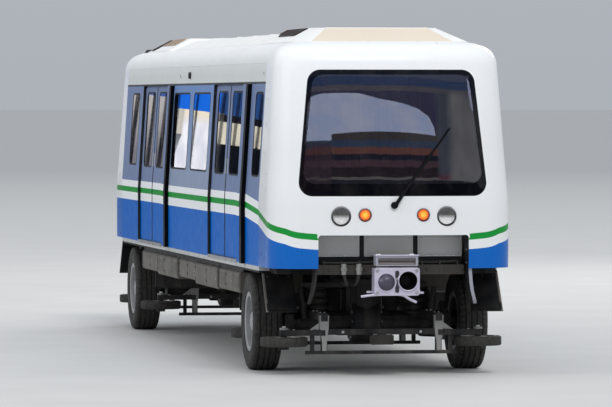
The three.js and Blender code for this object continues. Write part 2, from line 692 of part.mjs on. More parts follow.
// Arm, post and pin that carry one horizontal guide wheel
function makeGuideArm(end, side) {
  const post = [side * (GUIDE.beamY - 30), side * (GUIDE.beamY + 30)].sort((a, b) => a - b);
  const outer = [side * (GUIDE.beamY - 10), side * (GUIDE.y + 40)].sort((a, b) => a - b);
  const stub = [side * 690, side * 730].sort((a, b) => a - b);
  const armZ = [395, 452];
  const lowestZ = GUIDE.railZ[0];
  const [x0, x1] = [end * (GUIDE.x - 38), end * (GUIDE.x + 38)].sort((a, b) => a - b);
  const centre = [end * GUIDE.x, side * GUIDE.y, 0];
  return [
    box(x0 + 6, x1 - 6, ...post, lowestZ, 622),
    box(x0, x1, ...outer, ...armZ),
    box(x0 + 18, x1 - 18, ...stub, lowestZ + 5, armZ[0] + 20),
    cylinder('z', centre, GUIDE.pin, GUIDE.middleZ - 75, armZ[0] + 10, 12),
    cylinder('z', centre, 52, GUIDE.middleZ - 80, GUIDE.middleZ - 55, 8),
  ];
}

// Tyre and rim sections as [radius, distance across], about the wheel's own middle plane
const TYRE_SIDES = 24;
const TREAD = TYRE_RADIUS / Math.cos(Math.PI / TYRE_SIDES);
const RIM_SEAT = 288;
const BEAD = { seat: 113, lip: 136 };
const TYRE_SECTION = [
  [RIM_SEAT + 0.6, -BEAD.seat], [320, -BEAD.lip], [400, -150], [478, -140], [TREAD, -104],
  [TREAD, 104], [478, 140], [400, 150], [320, BEAD.lip], [RIM_SEAT + 0.6, BEAD.seat],
];
const RIM_SECTION = [
  [61, -50], [130, -50], [262, 0], [262, -134], [316, -134], [RIM_SEAT, -114],
  [RIM_SEAT, 114], [316, 134], [262, 134], [262, 36], [112, 88], [61, 88],
];
const WHEEL_Y = 1070;

const makeTyre = (centre) => turned('y', centre, TYRE_SECTION, TYRE_SIDES);

function makeRim(centre, side) {
  const outline = RIM_SECTION.map(([radius, across]) => [radius, side * across]);
  return turned('y', centre, outline, TYRE_SIDES);
}

// Guide wheel section as [radius, height above its middle]: hub, web and solid rubber tyre
const GUIDE_SIDES = 16;
const GUIDE_SECTION = [
  [31.3, -44], [85, -44], [172, -16], [182, -50], [GUIDE.radius, -46],
  [GUIDE.radius, 46], [182, 50], [172, 16], [31.3, 44],
];

function makeAxle(end, group) {
  place(`${end}_axle`, makeAxleFrame(), FRAME_GREY, group);
  for (const [name, side] of [['right', -1], ['left', 1]]) {
    const wheelSide = end === 'front' ? name : { right: 'left', left: 'right' }[name];
    const centre = [0, side * WHEEL_Y, TYRE_RADIUS];
    place(`${end}_${wheelSide}_rim`, makeRim(centre, side), RIM_STEEL, group);
    place(`${end}_${wheelSide}_tyre`, makeTyre(centre), RUBBER, group);
    for (const [where, along] of [['outer', 1], ['inner', -1]]) {
      const hub = [along * GUIDE.x, side * GUIDE.y, GUIDE.middleZ];
      const wheel = turned('z', hub, GUIDE_SECTION, GUIDE_SIDES);
      place(`${end}_${wheelSide}_guide_wheel_${where}`, wheel, RUBBER, group);
    }
  }
}

// Inside: a bench across each end, grab rails with posts, and the equipment cupboard
function makeBench() {
  return prismY([
    [5440, 1500], [5440, 1560], [5800, 1540], [5880, 1920], [5930, 1920], [5880, 1500],
    [5880, FLOOR_Z + GAP], [5560, FLOOR_Z + GAP], [5560, 1490],
  ], -1080, 1080);
}

function makeGrabRails() {
  const railY = 520;
  const railZ = 2880;
  const reach = 5200;
  const radius = 18;
  const pieces = [];
  for (const side of [-1, 1]) {
    pieces.push(cylinder('x', [0, side * railY, railZ], radius, -reach, reach, 6));
    for (const x of [-4600, -1300, 1300, 4600]) {
      const ceiling = ROOF_TOP_Z - NOSE_THICK - GAP;
      pieces.push(cylinder('z', [x, side * railY, 0], radius + 1, FLOOR_Z + GAP, ceiling, 6));
    }
  }
  for (const end of [-1, 1]) {
    pieces.push(cylinder('y', [end * (reach - 20), 0, railZ], radius, -railY, railY, 6));
  }
  return union(pieces);
}

function makeCupboard() {
  return prismY([
    [5990, FLOOR_Z + GAP], [5990, 1620], [6060, 1760], [6280, 1760], [6280, FLOOR_Z + GAP],
  ], -640, 640);
}

// The whole car
const axleStations = { front: new THREE.Group(), rear: new THREE.Group() };
axleStations.front.position.x = AXLE_X;
axleStations.rear.position.x = -AXLE_X;
axleStations.rear.rotation.z = Math.PI;

const leftSide = new THREE.Group();
leftSide.rotation.z = Math.PI;
const rearEnd = new THREE.Group();
rearEnd.rotation.z = Math.PI;
root.add(leftSide, rearEnd, axleStations.front, axleStations.rear);

place('underframe', makeUnderframe(), SILL_ALUMINIUM);
place('roof', makeRoof(), FASCIA);
makeSide('right', root);
makeSide('left', leftSide);
place('front_cap', makeFrontCap(), WHITE);
place('windscreen', makeScreen(0), GLASS_DARK);
place('rear_cap', makeEndShell(REAR_SETBACK), WHITE, rearEnd);
place('rear_window', makeScreen(REAR_SETBACK), GLASS_DARK, rearEnd);
place('front_roof_unit', makeRoofUnit(), CREAM);
place('rear_roof_unit', makeRoofUnit(), CREAM, rearEnd);
place('roof_deck', makeRoofDeck(), WHITE);
place('right_equipment', makeEquipment(), BOX_GREY);
place('left_equipment', makeEquipment(), BOX_GREY, leftSide);
place('front_beam', makeFrontBeam(), PANEL_GREY);
place('lamp_bar', makeLampBar(), LAMP);
place('wiper', makeWiper(), FRAME_GREY);
place('front_coupler', makeCoupler(), COUPLER_STEEL);
place('rear_drawbar', makeDrawbar(), COUPLER_STEEL, rearEnd);
makeAxle('front', axleStations.front);
makeAxle('rear', axleStations.rear);
place('front_bench', makeBench(), SEAT_PLASTIC);
place('rear_bench', makeBench(), SEAT_PLASTIC, rearEnd);
place('grab_rails', makeGrabRails(), STAINLESS);
place('cupboard', makeCupboard(), FASCIA);

export default root;
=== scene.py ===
import math

import bmesh
import bpy
from mathutils import Matrix, Vector


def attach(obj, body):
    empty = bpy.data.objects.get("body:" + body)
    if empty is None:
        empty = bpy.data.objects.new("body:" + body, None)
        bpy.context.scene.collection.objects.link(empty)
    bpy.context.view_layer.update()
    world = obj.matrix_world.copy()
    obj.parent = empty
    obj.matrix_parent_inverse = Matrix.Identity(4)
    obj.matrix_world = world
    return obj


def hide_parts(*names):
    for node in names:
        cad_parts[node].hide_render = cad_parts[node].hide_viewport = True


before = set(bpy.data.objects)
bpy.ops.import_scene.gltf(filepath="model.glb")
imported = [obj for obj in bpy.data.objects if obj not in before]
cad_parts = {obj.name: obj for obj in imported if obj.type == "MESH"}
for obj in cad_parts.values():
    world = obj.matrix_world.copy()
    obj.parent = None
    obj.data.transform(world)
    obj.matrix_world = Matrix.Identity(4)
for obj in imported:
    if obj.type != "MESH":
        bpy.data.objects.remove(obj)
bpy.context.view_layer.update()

# Main sizes in metres, as in the frame. +X is the leading end, +Y the car's left side.
HALF_WIDTH = 1.235
WALL_END = 5.72
SKIRT_Z = 1.095
WAIST_Z = 1.75
FASCIA_Z = 2.95
SHOULDER_Z = 3.17
SHOULDER_HALF = 1.145
ROOF_TOP_Z = 3.368
WINDOW_Z = (2.0, 2.87)
AXLE_X = 4.85
WHEEL_Y, WHEEL_Z = 1.07, 0.5
GUIDE_X, GUIDE_Y, GUIDE_Z = 1.05, 1.0, 0.335
COUPLER_PIN_X, COUPLER_Z = 6.1, 0.957
GAP = 0.0005
HALF_TURN = Matrix.Rotation(math.pi, 4, "Z")

# Height, half width, and how far the nose reaches at the middle
NOSE = [
    (SKIRT_Z, HALF_WIDTH, 6.675),
    (1.3, HALF_WIDTH, 6.685),
    (WAIST_Z, HALF_WIDTH, 6.673),
    (SHOULDER_Z, SHOULDER_HALF, 6.503),
]
SHOULDER = [
    (SHOULDER_Z, SHOULDER_HALF, 6.503),
    (3.228, 1.128, 6.48),
    (3.28, 1.098, 6.44),
    (3.32, 1.052, 6.382),
    (3.348, 0.99, 6.3),
    (ROOF_TOP_Z, 0.92, 6.19),
    (3.378, 0.7, 6.05),
    (3.383, 0.35, 5.93),
    (3.384, 0.06, 5.86),
]
NOSE_RAKE = (NOSE[3][2] - NOSE[2][2]) / (SHOULDER_Z - WAIST_Z)
FACE_RADIUS = 7.0
REAR_SETBACK = 0.06


# Camera

def make_camera():
    """The photograph's camera, turned to the lead car, with a longer lens."""
    yaw, pitch, focal_px = 0.0821, 0.0272, 1766.2
    forward = Vector((-math.cos(pitch) * math.cos(yaw), math.cos(pitch) * math.sin(yaw), math.sin(pitch)))
    right = forward.cross(Vector((0, 0, 1))).normalized()
    up = right.cross(forward)
    aim_px = (438.0, 286.5)
    photo_px = (612, 407)
    aside = (aim_px[0] - photo_px[0] / 2) / focal_px
    below = (aim_px[1] - photo_px[1] / 2) / focal_px
    aim = forward + right * aside - up * below
    camera = bpy.data.objects.new("camera", bpy.data.cameras.new("camera"))
    camera.data.sensor_width = 36
    enlargement = 2.95
    camera.data.lens = 36 * focal_px / photo_px[0] * enlargement
    camera.data.clip_end = 2000
    camera.location = (58.055, -9.01, 2.776)
    camera.rotation_euler = aim.to_track_quat("-Z", "Y").to_euler()
    bpy.context.scene.collection.objects.link(camera)
    bpy.context.scene.camera = camera


make_camera()


# Shaders

def rgb(code):
    """A six-digit sRGB code as linear colour with alpha."""
    parts = [int(code[i:i + 2], 16) / 255 for i in (0, 2, 4)]
    return (*[c / 12.92 if c <= 0.04045 else ((c + 0.055) / 1.055) ** 2.4 for c in parts], 1)


class Shader:
    """One material's node tree, with short calls for the nodes that it needs."""

    def __init__(self, name):
        self.material = bpy.data.materials.new(name)
        self.material.use_nodes = True
        self.nodes = self.material.node_tree.nodes
        self.links = self.material.node_tree.links
        self.surface = self.nodes["Principled BSDF"]
        self.place = self.nodes.new("ShaderNodeTexCoord").outputs["Object"]
        self.axes = None

    def feed(self, socket, value):
        if isinstance(value, bpy.types.NodeSocket):
            self.links.new(value, socket)
        else:
            socket.default_value = value

    def set(self, **values):
        for name, value in values.items():
            self.feed(self.surface.inputs[name.replace("_", " ")], value)

    def axis(self, letter):
        if self.axes is None:
            node = self.nodes.new("ShaderNodeSeparateXYZ")
            self.feed(node.inputs[0], self.place)
            self.axes = node.outputs
        return self.axes[letter]

    def math(self, operation, a, b=0.0):
        node = self.nodes.new("ShaderNodeMath")
        node.operation = operation
        self.feed(node.inputs[0], a)
        self.feed(node.inputs[1], b)
        return node.outputs[0]

    def times(self, a, b):
        return self.math("MULTIPLY", a, b)

    def above(self, value, limit):
        return self.math("GREATER_THAN", value, limit)

    def below(self, value, limit):
        return self.math("LESS_THAN", value, limit)

    def far(self, letter, start=0.0):
        """How far a point lies along an axis from a start, either way."""
        place = self.axis(letter)
        return self.math("ABSOLUTE", self.math("SUBTRACT", place, start) if start else place)

    def spread(self, value, low, high, to_low=0.0, to_high=1.0):
        node = self.nodes.new("ShaderNodeMapRange")
        for name, item in (("Value", value), ("From Min", low), ("From Max", high),
                           ("To Min", to_low), ("To Max", to_high)):
            self.feed(node.inputs[name], item)
        return node.outputs["Result"]

    def noise(self, scale, detail=3.0, stretch=(1, 1, 1)):
        mapping = self.nodes.new("ShaderNodeMapping")
        self.feed(mapping.inputs["Vector"], self.place)
        mapping.inputs["Scale"].default_value = stretch
        node = self.nodes.new("ShaderNodeTexNoise")
        self.feed(node.inputs["Vector"], mapping.outputs[0])
        node.inputs["Scale"].default_value = scale
        node.inputs["Detail"].default_value = detail
        return node.outputs["Fac"]

    def mix(self, amount, a, b):
        node = self.nodes.new("ShaderNodeMix")
        node.data_type = "RGBA"
        self.feed(node.inputs[0], amount)
        self.feed(node.inputs[6], a)
        self.feed(node.inputs[7], b)
        return node.outputs[2]

    def darker(self, color, value):
        node = self.nodes.new("ShaderNodeHueSaturation")
        node.inputs["Value"].default_value = value
        self.feed(node.inputs["Color"], color)
        return node.outputs[0]

    def steps(self, value, stops):
        """A colour by value, with hard edges: stops are (from value, colour), over 0 to 4."""
        node = self.nodes.new("ShaderNodeValToRGB")
        node.color_ramp.interpolation = "CONSTANT"
        self.feed(node.inputs[0], self.math("DIVIDE", value, 4.0))
        elements = node.color_ramp.elements
        elements[0].position, elements[0].color = stops[0][0] / 4, stops[0][1]
        elements[1].position, elements[1].color = stops[1][0] / 4, stops[1][1]
        for start, color in stops[2:]:
            elements.new(start / 4).color = color
        return node.outputs[0]

    def bump(self, height, strength, distance=0.001):
        node = self.nodes.new("ShaderNodeBump")
        node.inputs["Strength"].default_value = strength
        node.inputs["Distance"].default_value = distance
        self.feed(node.inputs["Height"], height)
        self.feed(self.surface.inputs["Normal"], node.outputs[0])

    def beyond_wall(self):
        """How far a point lies outside the wall's outer face."""
        rise = self.spread(self.axis("Z"), WAIST_Z, SHOULDER_Z, 0.0, HALF_WIDTH - SHOULDER_HALF)
        wall = self.math("SUBTRACT", HALF_WIDTH, rise)
        return self.math("SUBTRACT", self.far("Y"), wall)


DUST = rgb("8a8378")
WHITE = rgb("f2f4f6")
BLUE = rgb("0567c4")
GREEN = rgb("12963a")
BAND = rgb("7787ab")
FASCIA = rgb("d9ddd9")
BLACK = rgb("07080b")
LINING = rgb("cfd0cc")
# The stripes from below, and where the band over them starts
STRIPES = [(0, BLUE), (1.566, WHITE), (1.668, GREEN), (1.723, WHITE)]
BAND_Z = 1.806
# Lamps of the front: kind, distance from the middle, height and radius
LAMPS = [("headlamp", 0.537, 1.62, 0.1), ("marker_lamp", 0.296, 1.634, 0.067)]


def material(name, color, rough=(0.3, 0.45), metal=0.0, coat=0.0, patch=0.1, patch_scale=1.5,
             dirt=0.25, dirt_z=(1.5, 0.7), grain=180.0, bump=0.08, stretch=(1, 1, 1), **sockets):
    """A finish with uneven colour, dust towards the bottom, and its own gloss and grain."""
    s = Shader(name)
    base = color(s) if callable(color) else rgb(color)
    uneven = s.spread(s.noise(patch_scale, 5.0), 0.3, 0.7, 0.0, 1.0)
    base = s.mix(s.times(uneven, patch), base, s.darker(base, 0.62))
    if dirt:
        low = s.spread(s.axis("Z"), *dirt_z)
        streaks = s.spread(s.noise(3.0, 6.0, (3, 3, 0.5)), 0.38, 0.72)
        fine = s.spread(s.noise(40.0, 4.0), 0.3, 0.8, 0.5, 1.0)
        amount = s.times(s.times(low, streaks), fine)
        base = s.mix(s.times(amount, dirt), base, DUST)
    gloss = s.noise(grain / 25, 4.0, stretch)
    sockets = {key: value(s) if callable(value) else value for key, value in sockets.items()}
    s.set(Base_Color=base, Roughness=s.spread(gloss, 0.3, 0.7, *rough), Metallic=metal, **sockets)
    if coat:
        s.surface.inputs["Coat Weight"].default_value = coat
        s.surface.inputs["Coat Roughness"].default_value = 0.06
    s.bump(s.noise(grain, 2.0, stretch), bump)
    return s.material


# How the stripes fall towards the nose: from, to, and how far
DIP = [(4.85, 5.7, 0.06), (5.7, 6.35, 0.118), (6.35, 6.56, 0.057), (6.56, 6.64, 0.055)]


def stripes(s, above, dips):
    """Blue below, then white, green and white, then what lies above. They dip towards the nose."""
    height = s.axis("Z")
    if dips:
        for start, end, fall in DIP:
            height = s.math("ADD", height, s.spread(s.axis("X"), start, end, 0.0, fall))
    return s.steps(height, [*STRIPES, (BAND_Z, above)])


def front_end_color(s):
    """Striped white, a little greyer low down as painted shade. The green stops at the cut-out."""
    paint = stripes(s, WHITE, True)
    over_cutout = s.times(s.below(s.far("Y"), 0.775), s.above(s.axis("Z"), 1.4))
    paint = s.mix(over_cutout, paint, WHITE)
    # Painted shade: the paint darkens from 3.1 m down to 2.3 m and stays darker below.
    return s.mix(s.spread(s.axis("Z"), 2.3, 3.1), s.darker(paint, 0.9), paint)


def wall_color(s):
    """Striped, lighter and bluer on the middle panel as a painted reflection, black on the posts, and pale
    inside.
    """
    outside = stripes(s, BAND, True)
    # Painted reflection: the band on the middle panel is made lighter and bluer, growing bluer towards the
    # top.
    middle_reflection = s.times(s.below(s.far("X", 0.3), 1.72), s.above(s.axis("Z"), BAND_Z))
    outside = s.mix(middle_reflection, outside, s.mix(s.spread(s.axis("Z"), 2.0, 2.9), rgb("8f9db7"), rgb("7290c0")))
    depth = s.beyond_wall()
    outside = s.mix(s.above(depth, 0.002), outside, BLACK)
    return s.mix(s.below(depth, -0.05), outside, LINING)


def door_color(s):
    return s.mix(s.below(s.beyond_wall(), -0.065), stripes(s, BAND, False), LINING)


def roof_color(s):
    """Greyer on the fascia, whose lower edge is black as a painted shadow line, and white on the roof."""
    paint = s.mix(s.spread(s.axis("Z"), 3.06, 3.26), FASCIA, WHITE)
    # Painted shadow: a black line along the fascia's lower edge, where it overhangs the window band.
    return s.mix(s.below(s.axis("Z"), 2.972), paint, BLACK)


def marker_color(s):
    """Yellow at the lamp's middle and redder at its rim."""
    _, y, z, _ = LAMPS[1]
    across, up = s.math("SUBTRACT", s.far("Y"), y), s.math("SUBTRACT", s.axis("Z"), z)
    away = s.math("SQRT", s.math("ADD", s.times(across, across), s.times(up, up)))
    return s.mix(s.spread(away, 0.008, 0.052), rgb("ffb83c"), rgb("d24a1c"))


def reflector_color(s):
    """A painted reflection: dark above, as if mirroring the ground, and bright below as a painted highlight.
    """
    return s.mix(s.spread(s.axis("Z"), 1.595, 1.635), rgb("ffffff"), rgb("565856"))


# Painted light: the bezel is light grey at its top, as if lit from above, and dark grey at its bottom as
# painted shade.
def bezel_color(s):
    return s.mix(s.spread(s.axis("Z"), 1.6, 1.71), rgb("2b2c30"), rgb("8f9092"))


def underframe_color(s):
    """Bare aluminium sills along the saloon, and black paint underneath and at the ends."""
    black = s.math("MAXIMUM", s.below(s.axis("Z"), 1.05), s.above(s.far("X"), WALL_END + 0.02))
    return s.mix(black, rgb("c6c7c6"), rgb("090a0c"))


SATIN = (0.34, 0.46)
MATT = (0.5, 0.7)
MATERIALS = {
    "wall": material("wall_paint", wall_color, SATIN, patch=0.05, dirt=0.06, bump=0.02,
                     Specular_IOR_Level=0.04),
    "door": material("door_paint", door_color, SATIN, patch=0.05, dirt=0.06, bump=0.02,
                     Specular_IOR_Level=0.04),
    "front_end": material("front_end_gelcoat", front_end_color, (0.26, 0.38), coat=0.1,
                          patch=0.02, dirt=0.05, bump=0.02, Specular_IOR_Level=0.15),
    "rear_end": material("rear_end_gelcoat", lambda s: stripes(s, WHITE, False), (0.26, 0.38), coat=0.1,
                         patch=0.03, dirt=0.07, bump=0.02, Specular_IOR_Level=0.25),
    "roof": material("roof_paint", roof_color, (0.34, 0.5), patch=0.06, dirt=0.16, dirt_z=(3.1, 3.36)),
    "underframe": material("underframe_metal", underframe_color, MATT, 0.1, patch=0.2, dirt=0.1,
                           dirt_z=(1.2, 0.9), Specular_IOR_Level=0.25),
    # A beige copy of unit_white, used as painted shade on the units' sloping end faces.
    "shaded_cream": material("unit_cream", "e8dbc8", (0.4, 0.55), dirt=0.0, bump=0.1),
    "unit_white": material("unit_white", "f1f2f1", (0.35, 0.5), patch=0.08, dirt=0.0, bump=0.1),
    # A tan, lit copy of the dark grille: painted light.
    "dusty_grille": material("unit_grille_lit", "b09a86", MATT, patch=0.3, patch_scale=6, dirt=0.0),
    "grille": material("unit_grille", "2b1815", MATT, 0.2, patch=0.4, patch_scale=6, dirt=0.0),
    "dark": material("dark_paint", "131316", MATT, 0.1, patch=0.3, patch_scale=5, dirt=0.3,
                     dirt_z=(1.3, 0.3)),
    "black": material("satin_black", "0b0c10", patch=0.2, dirt=0.2),
    "rim_black": material("window_rim", "06070a", (0.4, 0.55), patch=0.2, dirt=0.05, Specular_IOR_Level=0.15),
    "guard": material("mudguard_rubber", "0c0d10", (0.6, 0.8), patch=0.2, patch_scale=6, dirt=0.08, bump=0.12,
                      Specular_IOR_Level=0.2),
    "rubber": material("rubber", "101010", (0.6, 0.8), patch=0.3, patch_scale=8, dirt=0.2, grain=300,
                       bump=0.2),
    "beam": material("beam_paint", "2c2924", MATT, 0.1, patch=0.4, patch_scale=7, dirt=0.15,
                     dirt_z=(1.3, 0.9)),
    "contacts": material("contact_block", "8f8583", (0.4, 0.6), 0.1, patch=0.4, patch_scale=25, dirt=0.1),
    "box": material("box_paint", "625e58", MATT, 0.1, patch=0.3, patch_scale=3, dirt=0.55, dirt_z=(1.1, 0.7),
                    bump=0.15),
    "apron": material("apron_paint", "9c9da8", (0.4, 0.6), 0.1, patch=0.2, patch_scale=5, dirt=0.15),
    "panel": material("panel_paint", "d4d4d2", (0.35, 0.5), 0.1, patch=0.15, patch_scale=4, dirt=0.2),
    "chassis": material("chassis_paint", "17171a", (0.5, 0.72), 0.2, patch=0.5, patch_scale=6, dirt=0.4,
                        dirt_z=(1.1, 0.1), grain=120, bump=0.25),
    "guide_steel": material("guide_steel", "9a9a98", (0.4, 0.6), 0.4, patch=0.35, patch_scale=9, dirt=0.4,
                            dirt_z=(1.0, 0.1), bump=0.2),
    "coupler": material("coupler_steel", "cdc8da", (0.34, 0.52), 0.45, patch=0.35, patch_scale=12, dirt=0.15,
                        grain=140, bump=0.2),
    # A darker steel for the coupler's cone: painted shade.
    "cone_steel": material("cone_steel", "5b5666", (0.25, 0.4), 0.7, patch=0.3, patch_scale=14, dirt=0.05,
                           bump=0.1),
    "gunmetal": material("gunmetal", "3d3942", metal=0.6, patch=0.35, patch_scale=14, dirt=0.1, bump=0.15),
    "steel": material("bare_steel", "b7b8ba", (0.22, 0.4), 0.95, patch=0.2, patch_scale=15, dirt=0.1,
                      bump=0.1),
    "rim": material("rim_paint", "a7a8aa", (0.35, 0.55), 0.3, patch=0.25, patch_scale=8, dirt=0.5,
                    dirt_z=(1.1, 0.1)),
    "stainless": material("brushed_stainless", "c9cbcd", (0.18, 0.34), 1.0, patch=0.08, dirt=0.0, grain=90,
                          bump=0.05, stretch=(1, 12, 12)),
    "seat": material("seat_shell", "2f5688", (0.35, 0.5), coat=0.2, dirt=0.0, bump=0.12),
    "laminate": material("laminate", "cfcdc6", patch=0.08, dirt=0.0, bump=0.06),
    "bezel": material("lamp_bezel", bezel_color, (0.25, 0.4), 0.4, patch=0.2, patch_scale=20, dirt=0.0),
    # The reflector also glows faintly in its painted colours, which brightens its painted highlight.
    "reflector": material("lamp_reflector", reflector_color, (0.3, 0.4), 0.3, Emission_Color=reflector_color,
                          Emission_Strength=0.2, patch=0.05, dirt=0.0, bump=0.02),
}


def tyre_material():
    s = Shader("tyre_rubber")
    uneven = s.spread(s.noise(9.0, 6.0), 0.3, 0.7)
    dusty = s.spread(s.noise(30.0, 5.0), 0.35, 0.75, 0.0, 0.35)
    base = s.mix(s.times(uneven, 0.4), rgb("161616"), rgb("2a2927"))
    s.set(Base_Color=s.mix(dusty, base, rgb("5b574f")), Roughness=s.spread(uneven, 0, 1, 0.62, 0.85))
    s.bump(s.noise(220.0, 4.0), 0.25)
    return s.material


def floor_material():
    """Speckled vinyl."""
    s = Shader("floor_vinyl")
    speckle = s.spread(s.noise(260.0, 2.0), 0.52, 0.6)
    s.set(Base_Color=s.mix(speckle, rgb("6d7480"), rgb("a9adb3")),
          Roughness=s.spread(s.noise(6.0), 0.3, 0.7, 0.4, 0.6))
    s.bump(s.noise(260.0, 2.0), 0.1)
    return s.material


def glass_material(name, tint, rough, see_through, wave, level=0.5):
    """Tinted glass, slightly wavy and dusty. It is clearest straight on and mirrors at a slant."""
    s = Shader(name)
    dust = s.spread(s.noise(5.0, 6.0, (1, 1, 0.7)), 0.45, 0.8, 0.0, 0.05)
    slant = s.nodes.new("ShaderNodeFresnel")
    slant.inputs["IOR"].default_value = 1.5
    alpha = s.spread(slant.outputs[0], 0.04, 0.6, 1 - see_through, 0.97)
    s.set(Base_Color=s.mix(dust, rgb(tint), DUST), IOR=1.52, Specular_IOR_Level=level,
          Roughness=s.spread(s.noise(3.0), 0.3, 0.7, rough, rough * 2),
          Alpha=s.math("MINIMUM", s.math("ADD", alpha, dust), 1.0))
    s.surface.inputs["Coat Weight"].default_value = level * 2
    s.surface.inputs["Coat Roughness"].default_value = rough / 2
    s.bump(s.noise(1.3, 1.0), wave, 0.02)
    return s.material


def lens_material(name, color, transmission, glow=0.0):
    """A fluted lens, perhaps lit."""
    s = Shader(name)
    color = color(s) if callable(color) else rgb(color)
    wave = s.nodes.new("ShaderNodeTexWave")
    wave.bands_direction = "Y"
    wave.inputs["Scale"].default_value = 26
    s.feed(wave.inputs["Vector"], s.place)
    spots = s.noise(60.0, 2.0)
    s.set(Base_Color=s.mix(s.spread(spots, 0.4, 0.7, 0.0, 0.2), color, s.darker(color, 0.7)),
          Emission_Color=color, Emission_Strength=glow, IOR=1.5,
          Roughness=s.spread(spots, 0.3, 0.7, 0.03, 0.09))
    s.surface.inputs["Transmission Weight"].default_value = transmission
    s.bump(wave.outputs["Fac"], 0.25, 0.002)
    return s.material


def light_material(name, color, strength):
    """A diffuser with a faint glow."""
    s = Shader(name)
    cloud = s.spread(s.noise(12.0, 2.0), 0.3, 0.7, 0.9, 1.0)
    s.set(Base_Color=s.mix(cloud, rgb("d8dadc"), rgb(color)), Roughness=s.spread(cloud, 0.9, 1.0, 0.35, 0.5),
          Emission_Color=rgb(color), Emission_Strength=strength)
    s.bump(s.noise(150.0, 2.0), 0.05)
    return s.material


MATERIALS["tyre"] = tyre_material()
MATERIALS["vinyl"] = floor_material()
MATERIALS["glass"] = glass_material("window_glass", "0c1016", 0.015, 0.5, 0.04)
MATERIALS["screen"] = glass_material("screen_glass", "0a0d14", 0.004, 0.2, 0.003)
MATERIALS["band_glass"] = glass_material("screen_border", "04060b", 0.006, 0.0, 0.003, 0.09)
MATERIALS["clear"] = lens_material("clear_lens", "ffffff", 1.0)
MATERIALS["orange"] = lens_material("orange_lens", marker_color, 0.1, 0.5)
MATERIALS["diffuser"] = light_material("ceiling_light", "fff6e6", 0.8)


# Mesh building

def rounded(corners, radius, steps=6):
    """The corners of an outline, rounded by arcs of one radius."""
    outline = []
    for i, corner in enumerate(corners):
        at = Vector(corner)
        before = (Vector(corners[i - 1]) - at).normalized()
        after = (Vector(corners[(i + 1) % len(corners)]) - at).normalized()
        half = math.acos(max(-1, min(1, before.dot(after)))) / 2
        centre = at + (before + after).normalized() * (radius / math.sin(half))
        start = at + before * (radius / math.tan(half)) - centre
        end = at + after * (radius / math.tan(half)) - centre
        sweep = math.atan2(start.x * end.y - start.y * end.x, start.dot(end))
        for k in range(steps + 1):
            angle = sweep * k / steps
            turned = Matrix.Rotation(angle, 2) @ start
            outline.append((turned.x + centre.x, turned.y + centre.y))
    return outline


def rectangle(a0, a1, b0, b1):
    return [(a0, b0), (a1, b0), (a1, b1), (a0, b1)]


def near(middle, reach):
    """The range within a distance of a value."""
    return middle - reach, middle + reach


def around(count, radius, first=0.0):
    """Points spaced evenly round a circle, as offsets along two axes."""
    for k in range(count):
        angle = 2 * math.pi * (k + first) / count
        yield radius * math.cos(angle), radius * math.sin(angle)


def smooth_path(points, per_span=5):
    """Points on a Catmull-Rom curve through the given ones."""
    path = [Vector(p) for p in points]
    ends = [path[0] * 2 - path[1], *path, path[-1] * 2 - path[-2]]
    out = []
    for i in range(1, len(ends) - 2):
        p0, p1, p2, p3 = ends[i - 1:i + 3]
        for k in range(per_span):
            t = k / per_span
            out.append(0.5 * (2 * p1 + (p2 - p0) * t + (2 * p0 - 5 * p1 + 4 * p2 - p3) * t * t
                              + (3 * p1 - p0 - 3 * p2 + p3) * t * t * t))
    return [*out, path[-1]]


def wall_half(z):
    if z <= WAIST_Z:
        return HALF_WIDTH
    return HALF_WIDTH - (z - WAIST_Z) * (HALF_WIDTH - SHOULDER_HALF) / (SHOULDER_Z - WAIST_Z)


def on_wall(x, z, depth):
    """A point at one depth below the right wall's outer face."""
    return Vector((x, depth - wall_half(z), z))


FRAMES = {
    "x": lambda a, b, c: Vector((c, a, b)),
    "y": lambda a, b, c: Vector((a, c, b)),
    "z": lambda a, b, c: Vector((a, b, c)),
    "wall": on_wall,
}


